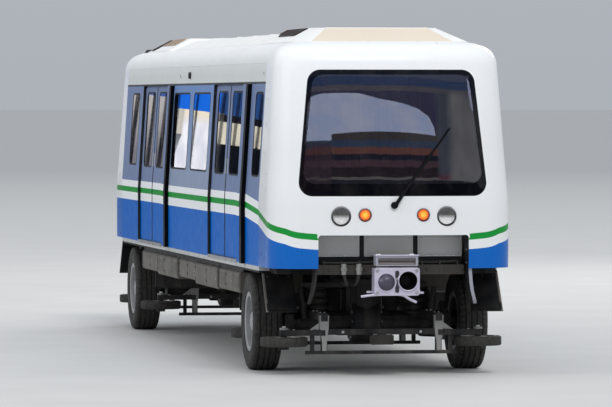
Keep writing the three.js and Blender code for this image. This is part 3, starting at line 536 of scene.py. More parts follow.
class Build:
    """Collects closed forms in one mesh, each with its own material."""

    def __init__(self, default="dark"):
        self.bm = bmesh.new()
        self.used = []
        self.default = default

    def index(self, name):
        name = name or self.default
        if name not in self.used:
            self.used.append(name)
        return self.used.index(name)

    def face(self, verts, mat):
        try:
            self.bm.faces.new(verts).material_index = mat
        except ValueError:
            pass

    def skin(self, rings, mat=None, closed=True, capped=True):
        """Skins rings of points, each with as many points as the next."""
        mat = self.index(mat)
        rows = [[self.bm.verts.new(p) for p in ring] for ring in rings]
        count = len(rows[0])
        for low, high in zip(rows, rows[1:]):
            for k in range(count if closed else count - 1):
                j = (k + 1) % count
                self.face([low[k], low[j], high[j], high[k]], mat)
        if capped:
            self.face(rows[0][::-1], mat)
            self.face(rows[-1], mat)
        return rows

    def box(self, x, y, z, mat=None):
        self.prism(rectangle(*sorted(x), *sorted(y)), "z", *sorted(z), mat)

    def prism(self, outline, axis, a, b, mat=None):
        place = FRAMES[axis]
        self.skin([[place(u, v, a) for u, v in outline], [place(u, v, b) for u, v in outline]], mat)

    def frame(self, outer, inner, axis, a, b, mat=None):
        """A flat ring between two outlines with equal numbers of points."""
        place = FRAMES[axis]
        rings = [[place(u, v, d) for u, v in line]
                 for line, d in ((outer, a), (outer, b), (inner, b), (inner, a))]
        self.skin([*rings, rings[0]], mat, capped=False)

    def plate(self, ranges, radius, axis, a, b, mat=None, steps=4):
        """A plate with rounded corners. Its ranges are along the other two axes."""
        self.prism(rounded(rectangle(*ranges), radius, steps), axis, a, b, mat)

    def lathe(self, axis, centre, profile, mat=None, steps=32, capped=True):
        """A profile of (radius, height), turned about an axis and capped at its ends."""
        turned = {"x": lambda r, h, c, s: (h, r * c, r * s), "y": lambda r, h, c, s: (r * s, h, r * c),
                  "z": lambda r, h, c, s: (r * c, r * s, h)}[axis]
        centre = Vector(centre)
        rings = []
        for radius, height in profile:
            rings.append([centre + Vector(turned(radius, height, math.cos(t), math.sin(t)))
                          for t in (2 * math.pi * k / steps for k in range(steps))])
        self.skin(rings, mat, capped=capped)

    def ring(self, axis, centre, profile, mat=None, steps=32):
        """A closed profile of (radius, height), turned about an axis."""
        self.lathe(axis, centre, [*profile, profile[0]], mat, steps, capped=False)

    def rod(self, axis, centre, radius, a, b, mat=None, steps=24, edge=0.0):
        edge = min(edge, radius * 0.45)
        if edge:
            profile = [(radius - edge, a), (radius, a + edge), (radius, b - edge), (radius - edge, b)]
        else:
            profile = [(radius, a), (radius, b)]
        self.lathe(axis, centre, profile, mat, steps)

    def tube(self, path, radius, mat=None, steps=12):
        path = [Vector(p) for p in path]
        last = len(path) - 1
        along = [(path[min(i + 1, last)] - path[max(i - 1, 0)]).normalized() for i in range(len(path))]
        side = along[0].orthogonal().normalized()
        rings = []
        for point, ahead in zip(path, along):
            side = (side - ahead * side.dot(ahead)).normalized()
            other = ahead.cross(side)
            rings.append([point + (side * math.cos(t) + other * math.sin(t)) * radius
                          for t in (2 * math.pi * k / steps for k in range(steps))])
        self.skin(rings, mat)

    def pipe(self, points, radius, mat="rubber", per_span=6, steps=12):
        """A tube on a smooth path through some points."""
        self.tube(smooth_path(points, per_span), radius, mat, steps)

    def bolt(self, axis, at, size=0.012, out=1, mat="steel"):
        """A hexagon head on a washer, standing out along an axis."""
        heights = [(1.35, 0.0, 0.25, 12), (1.0, 0.25, 1.0, 6)]
        for wide, low, high, steps in heights:
            profile = [(size * wide, out * size * low), (size * wide, out * size * high)]
            self.lathe(axis, at, profile, mat, steps)

    def bolts(self, axis, places, **options):
        for place in places:
            self.bolt(axis, place, **options)

    def made(self, name):
        """The object, with nothing set on it yet."""
        bmesh.ops.recalc_face_normals(self.bm, faces=self.bm.faces)
        mesh = bpy.data.meshes.new(name)
        self.bm.to_mesh(mesh)
        self.bm.free()
        for used in self.used:
            mesh.materials.append(MATERIALS[used])
        return bpy.data.objects.new(name, mesh)

    def done(self, name, body="root", replaces=(), bevel=0.0, smooth=38, turn=None, segments=2):
        """Makes the object, bevels its edges, and sets it on its body."""
        if turn is not None:
            self.bm.transform(turn)
        bmesh.ops.remove_doubles(self.bm, verts=self.bm.verts, dist=1e-6)
        return settle(self.made(name), body, replaces, bevel, smooth, segments)

    def helper(self, name="cutter"):
        """Makes an object that isn't kept, such as a cutter."""
        obj = self.made(name)
        bpy.context.scene.collection.objects.link(obj)
        return obj


def settle(obj, body="root", replaces=(), bevel=0.0, smooth=38, segments=2):
    mesh = obj.data
    mesh.polygons.foreach_set("use_smooth", [True] * len(mesh.polygons))
    mesh.set_sharp_from_angle(angle=math.radians(smooth))
    if obj.name not in bpy.context.scene.collection.objects:
        bpy.context.scene.collection.objects.link(obj)
    if bevel:
        modifier = obj.modifiers.new("bevel", "BEVEL")
        modifier.width = bevel
        modifier.segments = segments
        modifier.limit_method = "ANGLE"
        modifier.angle_limit = math.radians(max(smooth, 35))
        modifier.harden_normals = True
    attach(obj, body)
    if replaces:
        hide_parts(*([replaces] if isinstance(replaces, str) else replaces))
    return obj


def applied(obj, name):
    """The object's mesh with its modifiers applied, as a new object."""
    graph = bpy.context.evaluated_depsgraph_get()
    mesh = bpy.data.meshes.new_from_object(obj.evaluated_get(graph))
    mesh.name = name
    bpy.data.objects.remove(obj)
    return bpy.data.objects.new(name, mesh)


def cut(obj, cutters, operation="DIFFERENCE"):
    """Cuts an object by others, which are then removed."""
    for cutter in cutters:
        modifier = obj.modifiers.new("cut", "BOOLEAN")
        modifier.operation = operation
        modifier.solver = "EXACT"
        modifier.object = cutter
    name = obj.name
    obj.name = name + "_raw"
    result = applied(obj, name)
    for cutter in cutters:
        bpy.data.objects.remove(cutter)
    return result


# Moulded ends

def nose_ring(z, half, nose):
    """One horizontal ring of an end: straight sides, round corners and a slightly bowed face."""
    corner_steps, face_steps = 12, 24
    corner = min(0.35, half * 0.9)
    reach = nose - FACE_RADIUS
    corner_y = half - corner
    corner_x = reach + math.sqrt((FACE_RADIUS - corner) ** 2 - corner_y ** 2)
    meet = math.atan2(corner_y, corner_x - reach)
    side = [(WALL_END + GAP, half), ((WALL_END + corner_x) / 2, half)]
    for k in range(corner_steps + 1):
        t = math.pi / 2 + (meet - math.pi / 2) * k / corner_steps
        side.append((corner_x + corner * math.cos(t), corner_y + corner * math.sin(t)))
    for k in range(1, face_steps // 2):
        t = meet * (1 - 2 * k / face_steps)
        side.append((reach + FACE_RADIUS * math.cos(t), FACE_RADIUS * math.sin(t)))
    right = [Vector((x, -y, z)) for x, y in side]
    left = [Vector((x, y, z)) for x, y in reversed(side)]
    return [*right, Vector((nose, 0, z)), *left]


def nose_levels():
    """The levels of an end's rings, closer where the rake starts and over the shoulder."""
    upright = [(1.095, 6.675), (1.2, 6.682), (1.3, 6.685), (1.45, 6.684), (1.6, 6.679), (1.7, 6.6735)]
    levels = [(z, HALF_WIDTH, nose) for z, nose in upright]
    for z in (1.79, 1.9, 2.1, 2.35, 2.6, 2.85, 3.02, 3.1):
        levels.append((z, wall_half(z), NOSE[2][2] + NOSE_RAKE * (z - WAIST_Z)))
    return levels + [tuple(p) for p in smooth_path(SHOULDER, 4)]


def nose_shell(name, thick, outer, inner, setback):
    build = Build(outer)
    rings = [nose_ring(*level) for level in nose_levels()]
    build.skin(rings, closed=False, capped=False)
    build.face([build.bm.verts.new(p) for p in rings[-1]], 0)
    build.index(inner)
    if setback:
        for vert in build.bm.verts:
            if vert.co.x > WALL_END + 0.01:
                vert.co.x -= setback
    bmesh.ops.remove_doubles(build.bm, verts=build.bm.verts, dist=1e-5)
    obj = build.helper(name)
    solid = obj.modifiers.new("thickness", "SOLIDIFY")
    solid.thickness = thick
    solid.offset = -1
    solid.material_offset = 1
    solid.material_offset_rim = 0
    return obj


def screen_outline(inset, low=0.0):
    bottom, top, bottom_half, top_half = 1.82 + inset + low, 3.09 - inset, 0.97 - inset, 0.842 - inset
    corners = [(-bottom_half, bottom), (bottom_half, bottom), (top_half, top), (-top_half, top)]
    return rounded(corners, 0.135 - inset * 0.4, 8)


def nose_cutter(outline):
    build = Build()
    build.prism(outline, "x", 6.2, 7.0)
    return build.helper()


def trimmed_shell(name, thick, mat, setback, outside, inside=None):
    """A shell of the end's form, kept within one outline and perhaps out of another."""
    shell = cut(nose_shell(name, thick, mat, mat, setback), [nose_cutter(outside)], "INTERSECT")
    if inside:
        bpy.context.scene.collection.objects.link(shell)
        shell = cut(shell, [nose_cutter(inside)])
    return shell


CUTOUT = rounded(rectangle(-0.765, 0.765, 0.9, 1.43), 0.03, 4)


def make_end(name, window, paint, setback, turn=None):
    """A moulded end with its window. The front one also has a cut-out and holes for the lamps."""
    cutters = [nose_cutter(screen_outline(0))]
    if turn is None:
        cutters.append(nose_cutter(CUTOUT))
        for _, y, z, radius in LAMPS:
            for side in (-1, 1):
                hole = Build()
                hole.rod("x", (0, side * y, z), radius + 0.001, 6.4, 7.0, steps=48)
                cutters.append(hole.helper())
    cap = cut(nose_shell(name, 0.035, paint, "dark", setback), cutters)
    clear = screen_outline(0.05, 0.075)
    pane = trimmed_shell(window, 0.012, "screen", setback + 0.004, clear)
    border = trimmed_shell(window + "_border", 0.014, "band_glass", setback + 0.0035,
                           screen_outline(0.006), clear)
    seal = trimmed_shell(window + "_seal", 0.03, "rubber", setback + 0.002,
                         screen_outline(0), screen_outline(0.007))
    if turn is not None:
        for piece in (cap, pane, border, seal):
            piece.data.transform(turn)
    settle(cap, replaces=name, bevel=0.004, smooth=32)
    settle(pane, replaces=window, smooth=30)
    settle(border, smooth=30)
    settle(seal, smooth=30)


make_end("front_cap", "windscreen", "front_end", 0.0)
make_end("rear_cap", "rear_window", "rear_end", REAR_SETBACK, HALF_TURN)


def bowed(nose, y):
    """How far the face reaches beside its middle."""
    return nose - FACE_RADIUS + math.sqrt(FACE_RADIUS ** 2 - y * y)


def face_x(y, z):
    levels = [level for level in NOSE if level[0] <= z]
    low = levels[-1]
    high = NOSE[len(levels)]
    return bowed(low[2] + (high[2] - low[2]) * (z - low[0]) / (high[0] - low[0]), y)


def make_lamps():
    build = Build("bezel")
    for kind, y, z, radius in LAMPS:
        rim = [(0.995, -0.09), (0.995, 0.004), (0.96, 0.012), (0.86, 0.012), (0.82, 0.002), (0.82, -0.09)]
        bowl = [(radius * 0.8, -0.004)]
        bowl += [(radius * 0.8 * math.cos(t), -0.004 - radius * 0.75 * math.sin(t))
                 for t in (0.3, 0.6, 0.9, 1.2, 1.5)]
        back = [(r, h - 0.004) for r, h in reversed(bowl)]
        dome = [(radius * 0.81, -0.006), (radius * 0.81, 0.002), (radius * 0.66, 0.0065),
                (radius * 0.4, 0.0095), (0.0012, 0.0105)]
        for side in (-1, 1):
            x = face_x(y, z)
            at = (x, side * y, z)
            build.ring("x", at, [(radius * r, h) for r, h in rim], steps=48)
            build.ring("x", at, [*bowl, *back], "reflector", 40)
            build.rod("x", at, radius * 0.16, -radius * 0.7, -radius * 0.2, "reflector", 16, 0.004)
            build.lathe("x", at, dome, "orange" if kind == "marker_lamp" else "clear", 40)
            for dy, dz in around(3, radius * 0.91, 0.75):
                build.rod("x", (x + 0.012, side * y + dy, z + dz), 0.004, 0.0, 0.002, "steel", 10)
    build.done("lamps", replaces="lamp_bar")


make_lamps()


def on_screen(y, z, out):
    """A point that stands a distance ahead of the windscreen."""
    return Vector((bowed(NOSE[2][2] + NOSE_RAKE * (z - WAIST_Z), y) + out, y, z))


def make_wiper():
    build = Build("rim_black")
    foot = [(0.036, 0.0), (0.036, 0.02), (0.03, 0.03), (0.02, 0.034), (0.0012, 0.035)]
    build.lathe("x", (face_x(0, 1.73), 0, 1.73), foot, steps=28)
    arm = [((-0.016, 1.718), (0.016, 1.708)), ((0.16, 1.965), (0.178, 1.952)),
           ((0.378, 2.254), (0.402, 2.238))]
    build.skin([[on_screen(*a, 0.03), on_screen(*b, 0.03), on_screen(*b, 0.036), on_screen(*a, 0.036)]
                for a, b in arm])
    build.tube([on_screen(0.012, 1.745, 0.037), on_screen(0.1, 1.87, 0.037)], 0.016)
    blade = [(0.2, 1.99), (0.3, 2.122), (0.39, 2.246), (0.48, 2.362), (0.585, 2.503)]
    for low, high, wide in ((0.002, 0.012, 0.003), (0.012, 0.019, 0.007), (0.019, 0.025, 0.0045)):
        corners = ((-wide, low), (wide, low), (wide, high), (-wide, high))
        build.skin([[on_screen(y + aside, z - aside * 0.7, out) for aside, out in corners] for y, z in blade])
    build.done("wiper_detail", replaces="wiper", bevel=0.0012)


make_wiper()


# Roof and roof units

def make_roof():
    shoulder = smooth_path([(half, z, 0) for z, half, _ in SHOULDER], 4)
    outer = [(-wall_half(z), z) for z in (FASCIA_Z, 3.0, 3.15, 3.165)]
    outer += [(-p.x, p.y) for p in shoulder]
    outer += [(-y, z) for y, z in reversed(outer)]
    groove = ((0.0405, FASCIA_Z), (0.0405, 2.99), (0.0635, 2.99), (0.0635, FASCIA_Z))
    inner_half = [(wall_half(z) - depth, z) for depth, z in groove]
    inner_half += [(1.035, FASCIA_Z), (1.035, SHOULDER_Z - 0.02), (0.97, 3.262), (0.0012, 3.262)]
    inner = [(-y, z) for y, z in inner_half] + [(y, z) for y, z in reversed(inner_half)]
    build = Build("roof")
    build.prism([*outer, *reversed(inner)], "x", -WALL_END + GAP, WALL_END - GAP)
    build.done("roof_skin", replaces="roof", bevel=0.003, smooth=30)
    trim = Build("roof")
    lip = ((-0.002, 0.0), (0.003, 0.001), (0.005, 0.005), (0.004, 0.008), (0.002, 0.005), (-0.004, 0.005))
    seam_half = ((1.1445, 3.185), *[(half, z) for z, half, _ in SHOULDER[1:6]])
    for side in (-1, 1):
        gutter = [(side * (wall_half(3.16) + dy), 3.16 + dz) for dy, dz in lip]
        trim.prism(gutter, "x", -WALL_END + 0.004, WALL_END - 0.004)
        seam = [(side * (half + 0.001), z) for half, z in seam_half]
        back = [(y * 0.996, z - 0.004) for y, z in reversed(seam)]
        for x in (-4.2, -1.4, 1.4, 4.2):
            trim.prism([*seam, *back], "x", *near(x, 0.006))
    # Side lamps: place along the car, half height, half width, how far they stand out, and finish
    lamps = [(0.0, 0.038, 0.028, 0.026, "black"), (0.8, 0.026, 0.02, 0.012, "panel"),
             (-5.58, 0.022, 0.018, 0.006, "panel")]
    z = 3.06
    for x, tall, wide, proud, finish in lamps:
        for side in (-1, 1):
            face = side * wall_half(z)
            trim.plate((*near(side * x, wide), *near(z, tall)), wide * 0.7, "y", face - side * 0.02,
                       face + side * proud, finish, 5)
            trim.plate((*near(side * x, wide * 0.6), *near(z, tall * 0.6)), wide * 0.4, "y", face,
                       face + side * (proud + 0.003), "bezel")
    trim.done("roof_trim", bevel=0.0012)


make_roof()


def unit_ring(x0, x1, half, cut_off, z):
    side = [(x0, half), (x1 - cut_off, half), (x1, half - cut_off)]
    return [Vector((x, -y, z)) for x, y in side] + [Vector((x, y, z)) for x, y in reversed(side)]


def make_unit_cover(end, turn):
    build = Build("unit_white")
    low, kerb = [unit_ring(3.7, 6.0, 0.91, 0.17, ROOF_TOP_Z + lift) for lift in (GAP, 0.012)]
    high = unit_ring(3.8, 5.6, 0.63, 0.11, 3.522)
    build.skin([low, kerb])
    inset = [v.lerp(kerb[(i + 3) % 6], 0.008) for i, v in enumerate(kerb)]
    rows = build.skin([inset, high], capped=False)
    build.face(rows[-1], build.index("unit_white"))
    # Painted shade: the sloping face at the unit's outer end takes a beige, shaded copy of the unit's white.
    for face in build.bm.faces:
        middle = face.calc_center_median()
        if middle.x > 5.65 and abs(middle.y) < 0.1 and middle.z > 3.4:
            face.material_index = build.index("shaded_cream")
    build.done(f"{end}_roof_unit_cover", replaces=f"{end}_roof_unit", bevel=0.012,
               turn=turn, segments=3)


def make_unit_grilles(build, end, side):
    """The grilles of one sloping side: three with slats and a small one with bars."""
    # Painted light: the rear unit's slats and frames take a tan, lit copy of the dark grille colour.
    finish, small = {"front": ("grille", (3.86, 4.07, 0.6, 0.97)),
                     "rear": ("dusty_grille", (5.32, 5.52, 0.05, 0.95))}[end]

    def slope(x, t, out):
        """A point on the sloping side: t from the kerb to the crown."""
        return Vector((x, side * (0.903 - 0.273 * t + out * 0.45), 3.38 + 0.142 * t + out * 0.9))

    def backing(corners, out):
        build.skin([[slope(*corner, depth) for corner in corners] for depth in (-0.01, out)], "black")

    low, high = 0.46, 0.94
    slat = ((0.0, 0.001), (0.04, 0.001), (0.052, 0.009), (0.04, 0.011))
    for x0, x1 in ((4.12, 4.47), (4.49, 4.84), (4.86, 5.21)):
        corners = rectangle(x0, x1, low, high)
        backing(corners, 0.002)
        for k in range(6):
            t = low + 0.02 + 0.076 * k
            build.skin([[slope(x, t + rise, out) for rise, out in slat]
                        for x in (x0 + 0.012, x1 - 0.012)], finish)
        for i, j in ((0, 1), (3, 2), (0, 3), (1, 2)):
            build.tube([slope(*corners[i], 0.004), slope(*corners[j], 0.004)], 0.006, finish, 8)
    x0, x1, low, high = small
    backing(rectangle(*small), 0.004)
    for k in range(4):
        x = x0 + 0.03 + k * (x1 - x0 - 0.06) / 3
        build.tube([slope(x, low + 0.04, 0.006), slope(x, high - 0.04, 0.006)], 0.005, "grille", 8)


def make_unit_detail(end, turn):
    """Grilles, two fans with guards, a seam and screws."""
    build = Build("grille")
    for side in (-1, 1):
        make_unit_grilles(build, end, side)
    build.tube([(5.6, -0.52, 3.5175), (5.6, 0.52, 3.5175)], 0.009, "unit_white", 10)
    build.box((5.5, 5.56), (-0.5, 0.5), (3.521, 3.5295))
    rim = [(0.3, 3.517), (0.3, 3.527), (0.29, 3.53), (0.275, 3.527), (0.272, 3.517)]
    for x in (4.25, 5.1):
        at = (x, 0, 0)
        build.ring("z", at, rim, "unit_white", 56)
        build.rod("z", at, 0.272, 3.5195, 3.5225, "black", 48)
        for radius in (0.06, 0.11, 0.16, 0.21, 0.26):
            build.ring("z", at, rectangle(*near(radius, 0.002), 3.5235, 3.5265), "steel", 48)
        for dx, dy in [*around(16, 0.272)][:8]:
            build.tube([(x - dx, -dy, 3.5268), (x + dx, dy, 3.5268)], 0.0016, "steel", 6)
    for x, ys in ((3.85, (0.3, 0.59)), (4.7, (0.3, 0.59)), (5.55, (0.3,))):
        for y in ys:
            for side in (-1, 1):
                build.rod("z", (x, side * y, 0), 0.007, 3.521, 3.5245, "steel", 10)
    for y in (-0.55, -0.2, 0.2, 0.55):
        build.rod("x", (5.9, y, 3.40), 0.007, -0.03, 0.006, "steel", 10)
    build.done(f"{end}_roof_unit_detail", turn=turn)


def make_roof_deck():
    """The raised middle of the roof, with lapped sheets, screws and two pairs of lifting eyes."""
    build = Build("unit_white")
    half = [(0.878, ROOF_TOP_Z + GAP), (0.62, 3.488)]
    build.prism([(-half[0][0], half[0][1]), *half, (-half[1][0], half[1][1])], "x", -3.698, 3.698)
    build.done("roof_deck_shell", replaces="roof_deck", bevel=0.03, segments=4)
    trim = Build("unit_white")
    lap = [(-0.84, 3.3885), (-0.612, 3.4945), (0.612, 3.4945), (0.84, 3.3885), (0.838, 3.384), (0.61, 3.486),
           (-0.61, 3.486), (-0.838, 3.384)]
    for x in (-2.46, -1.23, 0.0, 1.23, 2.46):
        trim.prism(lap, "x", *near(x, 0.018))
        for y in (-0.5, -0.25, 0.0, 0.25, 0.5):
            trim.rod("z", (x, y, 0), 0.006, 3.4945, 3.497, "steel", 10)
    for x in (-3.2, 3.2):
        for y in (-0.45, 0.45):
            trim.rod("z", (x, y, 0), 0.03, 3.486, 3.496, None, 24, 0.003)
            trim.rod("z", (x, y, 0), 0.012, 3.496, 3.505, "steel", 6)
    trim.done("roof_deck_detail", bevel=0.001)


make_roof_deck()
for end, turn in (("front", None), ("rear", HALF_TURN)):
    make_unit_cover(end, turn)
    make_unit_detail(end, turn)


# Side windows and doors. The left side is the right side turned half round.
WINDOWS = {"rear": [(-5.12, -4.42)], "mid": [(-1.265, 0.085), (0.395, 1.745)], "front": [(5.1, 5.65)]}
DOORWAY_X = 3.05
FAR_END = {"rear": "front", "mid": "mid", "front": "rear"}


def window_outline(x0, x1, grow=0.0, radius=0.08):
    """A window's outline by its inset. It may be larger all round than the range that it is given."""
    low, high = WINDOW_Z
    return lambda inset: rounded(rectangle(x0 - grow + inset, x1 + grow - inset, low - grow + inset,
                                           high + grow - inset), radius - inset * 0.6, 6)


def gasket(build, outline, out, deep, wide, mat="rubber"):
    """A ring along the inside of a window's outline, on the wall's slope."""
    build.frame(outline(0.0), outline(wide), "wall", out, deep, mat)


def make_side(side, turn=None):
    for end, windows in WINDOWS.items():
        name = f"{side}_{end if side == 'right' else FAR_END[end]}"
        build = Build("rubber")
        glass = Build("glass")
        for x0, x1 in windows:
            outline = window_outline(x0, x1)
            glass.prism(outline(0.006), "wall", 0.0015, 0.0195)
            gasket(build, outline, 0.0013, 0.0145, 0.0065)
            gasket(build, outline, -0.0015, 0.0013, 0.02, "rim_black")
            gasket(build, outline, 0.0146, 0.0205, -0.02, "black")
            lining = window_outline(x0, x1, 0.02, 0.1)
            build.frame(lining(0.0), outline(0.012), "wall", 0.09, 0.1145, "laminate")
            sill = rectangle(x0 + 0.02, x1 - 0.02, WINDOW_Z[0] - 0.04, WINDOW_Z[0] - 0.022)
            build.prism(sill, "wall", 0.1, 0.118, "stainless")
        build.done(name + "_window_seals", bevel=0.001, turn=turn)
        glass.done(name + "_panes", replaces=name + "_glass", turn=turn)
    for end, centre in (("front", DOORWAY_X), ("rear", -DOORWAY_X)):
        where = end if side == "right" else FAR_END[end]
        for direction in (1, -1):
            ahead = "ahead" if (direction > 0) == (side == "right") else "behind"
            make_door(f"{side}_{where}_door_{ahead}", f"door_{side}_{where}_{ahead}", centre, direction, turn)
        make_doorway(f"{side}_{where}_doorway", centre, turn)


def make_door(name, body, centre, direction, turn):
    middle = centre + direction * 0.55
    glass = Build("glass")
    outline = window_outline(*near(middle, 0.37))
    glass.prism(outline(0.006), "wall", 0.0355, 0.0475)
    glass.done(f"{name}_glass", body, turn=turn)
    trim = Build("rubber")
    gasket(trim, outline, 0.0335, 0.0475, 0.0065)
    gasket(trim, window_outline(*near(middle, 0.37), 0.012, 0.09), 0.0325, 0.0342, 0.0115, "rim_black")
    gasket(trim, outline, 0.0625, 0.073, 0.016)
    lip = rectangle(*sorted((centre + direction * 0.0026, centre + direction * 0.022)), 0.031, 0.073)
    trim.skin([[on_wall(x, z, depth) for x, depth in lip] for z in (1.124, 1.75, 2.934)])
    kick = sorted((centre + direction * 0.05, centre + direction * 1.06))
    trim.prism(rectangle(*kick, 1.14, 1.3), "wall", 0.0702, 0.0725, "stainless")
    handle_x = centre + direction * 0.075
    outer = rounded(rectangle(*near(handle_x, 0.02), 2.0, 2.16), 0.018, 5)
    inner = rounded(rectangle(*near(handle_x, 0.014), 2.006, 2.154), 0.013, 5)
    trim.frame(outer, inner, "wall", 0.031, 0.0345, "panel")
    trim.done(f"{name}_trim", body, bevel=0.001, turn=turn)


def make_doorway(name, centre, turn):
    """The threshold's treads, edge and screws, and the seals over and beside the leaves."""
    build = Build("stainless")
    x0, x1 = near(centre, 1.095)
    for k in range(9):
        y = -HALF_WIDTH + 0.008 + k * 0.012
        build.box((x0, x1), (y, y + 0.005), (1.1118, 1.1148))
    build.box((x0, x1), (-HALF_WIDTH - 0.0015, -HALF_WIDTH + 0.002), (1.08, 1.1118), "steel")
    for x in (x0 + 0.03, x0 + 0.57, centre, x1 - 0.57, x1 - 0.03):
        build.rod("y", (x, 0, 1.094), 0.006, -HALF_WIDTH - 0.004, -HALF_WIDTH, "steel", 10)
    build.prism(rectangle(x0, x1, 2.951, 2.965), "wall", -0.0015, 0.004, "rubber")
    for x in (x0 - 0.004, x1 + 0.004):
        for z0, z1 in ((1.12, WAIST_Z), (WAIST_Z, 2.945)):
            build.prism(rectangle(*near(x, 0.004), z0, z1), "wall", 0.001, 0.026, "rubber")
    build.done(name, bevel=0.0008, turn=turn)


make_side("right")
make_side("left", HALF_TURN)


# Front beam, access panels and the sides of the recess
def make_front_beam():
    build = Build("panel")
    half, back, front = 0.75, 6.3103, 6.335
    build.box((6.3005, back), (-half, half), (1.032, 1.424), "dark")
    for y0, y1 in ((-half, -0.298), (-0.25, 0.25), (0.298, half)):
        build.plate((y0, y1, 1.206, 1.425), 0.012, "x", back, front)
        build.plate((y0 + 0.02, y1 - 0.02, 1.226, 1.407), 0.01, "x", front - 0.002, front + 0.003)
        for y in (y0 + 0.04, y1 - 0.04):
            for z in (1.238, 1.395):
                build.rod("x", (front, y, z), 0.008, 0.0, 0.0065, "steel", 12)
        build.box((front + 0.002, front + 0.02), (y0 + 0.06, y1 - 0.06), (1.211, 1.219), "stainless")
    build.box((6.3005, 6.47), (-half, half), (1.03, 1.128), "beam")
    for y in (-0.68, -0.5, -0.32, 0.32, 0.5, 0.68):
        build.box((6.36, 6.474), near(y, 0.006), (1.035, 1.17), "beam")
        build.bolt("x", (6.47, y + 0.05, 1.08), mat="beam")
    for y, tilt in ((-0.485, 0.02), (-0.33, -0.015)):
        build.rod("z", (6.5, y, 0), 0.028, 1.03, 1.14, "guide_steel", 20, 0.004)
        build.rod("z", (6.5, y, 0), 0.036, 1.07, 1.1, "guide_steel", 6)
        build.box((6.46, 6.5), near(y, 0.02), (1.06, 1.12), "guide_steel")
        hose = [(6.5, y, 1.035), (6.5, y + tilt, 0.97), (6.44, y + 2 * tilt, 0.93), (6.33, y + tilt, 0.95)]
        build.pipe(hose, 0.017)
    build.pipe([(6.45, -0.7, 1.15), (6.46, -0.4, 1.148), (6.455, -0.1, 1.16), (6.44, 0.1, 1.15)], 0.012)
    build.pipe([(6.42, 0.68, 1.16), (6.43, 0.4, 1.15), (6.42, 0.15, 1.165)], 0.016)
    build.done("front_beam_detail", replaces="front_beam", bevel=0.003)


def make_recess_sides():
    """The apron plates that hang beside the cut-out, one with a pale edge, and the recess's lid."""
    # Height, distance from the middle, and rear and front edges
    apron = [(1.431, 0.7685, 6.33, 6.6), (1.1, 0.7695, 6.33, 6.6), (1.05, 0.771, 6.4, 6.6),
             (0.96, 0.779, 6.405, 6.595), (0.87, 0.793, 6.41, 6.585), (0.79, 0.815, 6.42, 6.575),
             (0.75, 0.827, 6.44, 6.555), (0.737, 0.832, 6.47, 6.525)]
    build = Build()
    for side in (-1, 1):
        for inner, outer in ((0.0, 0.006), (0.006, 0.018)):
            build.skin([[(x, side * (y + out), z) for x, out in
                         ((back, inner), (front, inner), (front, outer), (back, outer))]
                        for z, y, back, front in apron])
        build.bolts("y", [(6.5, side * 0.7695, z) for z in (1.15, 1.28)], size=0.01, out=-side)
    edge = ((-0.003, 0.0), (-0.003, 0.034), (0.004, 0.034), (0.004, 0.0))
    build.skin([[(front + dx, y + dy, z) for dx, dy in edge] for z, y, _, front in apron[1:]], "apron")
    build.box((6.33, 6.6), (-0.7685, 0.7685), (1.433, 1.445))
    build.done("recess_sides", smooth=50)


make_front_beam()
make_recess_sides()


# Couplers

def make_contact_box(build):
    """The electric head over the coupler: a steel frame with a lid, round a recessed contact block."""
    outer = rounded(rectangle(-0.215, 0.215, 1.126, 1.236), 0.012, 4)
    build.frame(outer, rounded(rectangle(-0.19, 0.19, 1.138, 1.206), 0.008, 4), "x", 6.7, 6.83, "apron")
    build.plate((-0.192, 0.192, 1.136, 1.208), 0.006, "x", 6.7, 6.8, "contacts")
    build.box((6.69, 6.84), (-0.222, 0.222), (1.226, 1.238))
    build.box((6.8, 6.812), (-0.186, 0.186), (1.168, 1.176), "gunmetal")
    for k in range(14):
        for z in (1.15, 1.192):
            build.rod("x", (0, -0.17 + 0.026 * k, z), 0.0055, 6.8, 6.81, "apron", 8)
    for y in (-0.17, 0.17):
        build.rod("y", (6.7, 0, 1.236), 0.01, *near(y, 0.025), "steel", 14)


def make_coupler_head(funnel_at):
    """The head's body and face plate, each cut by the funnel."""
    body = Build("coupler")
    side = [(6.6, 0.16), (6.66, 0.228), (6.82, 0.228)]
    body.prism([(x, -y) for x, y in side] + side[::-1], "z", 0.835, 1.105)
    plate = Build("coupler")
    plate.plate((-0.23, 0.23, 0.83, 1.11), 0.03, "x", 6.812, 6.84, steps=5)
    for build, name, bevel in ((body, "coupler_body", 0.006), (plate, "coupler_plate", 0.004)):
        hole = Build()
        hole.lathe("x", funnel_at, [(0.06, 6.69), (0.0925, 6.8), (0.0965, 6.9)], steps=48)
        settle(cut(build.helper(name), [hole.helper()]), "coupler", bevel=bevel)


def add_coupler_eye(build):
    build.ring("z", (COUPLER_PIN_X, 0, 0), rectangle(0.0395, 0.092, 0.915, 1.0), steps=40)


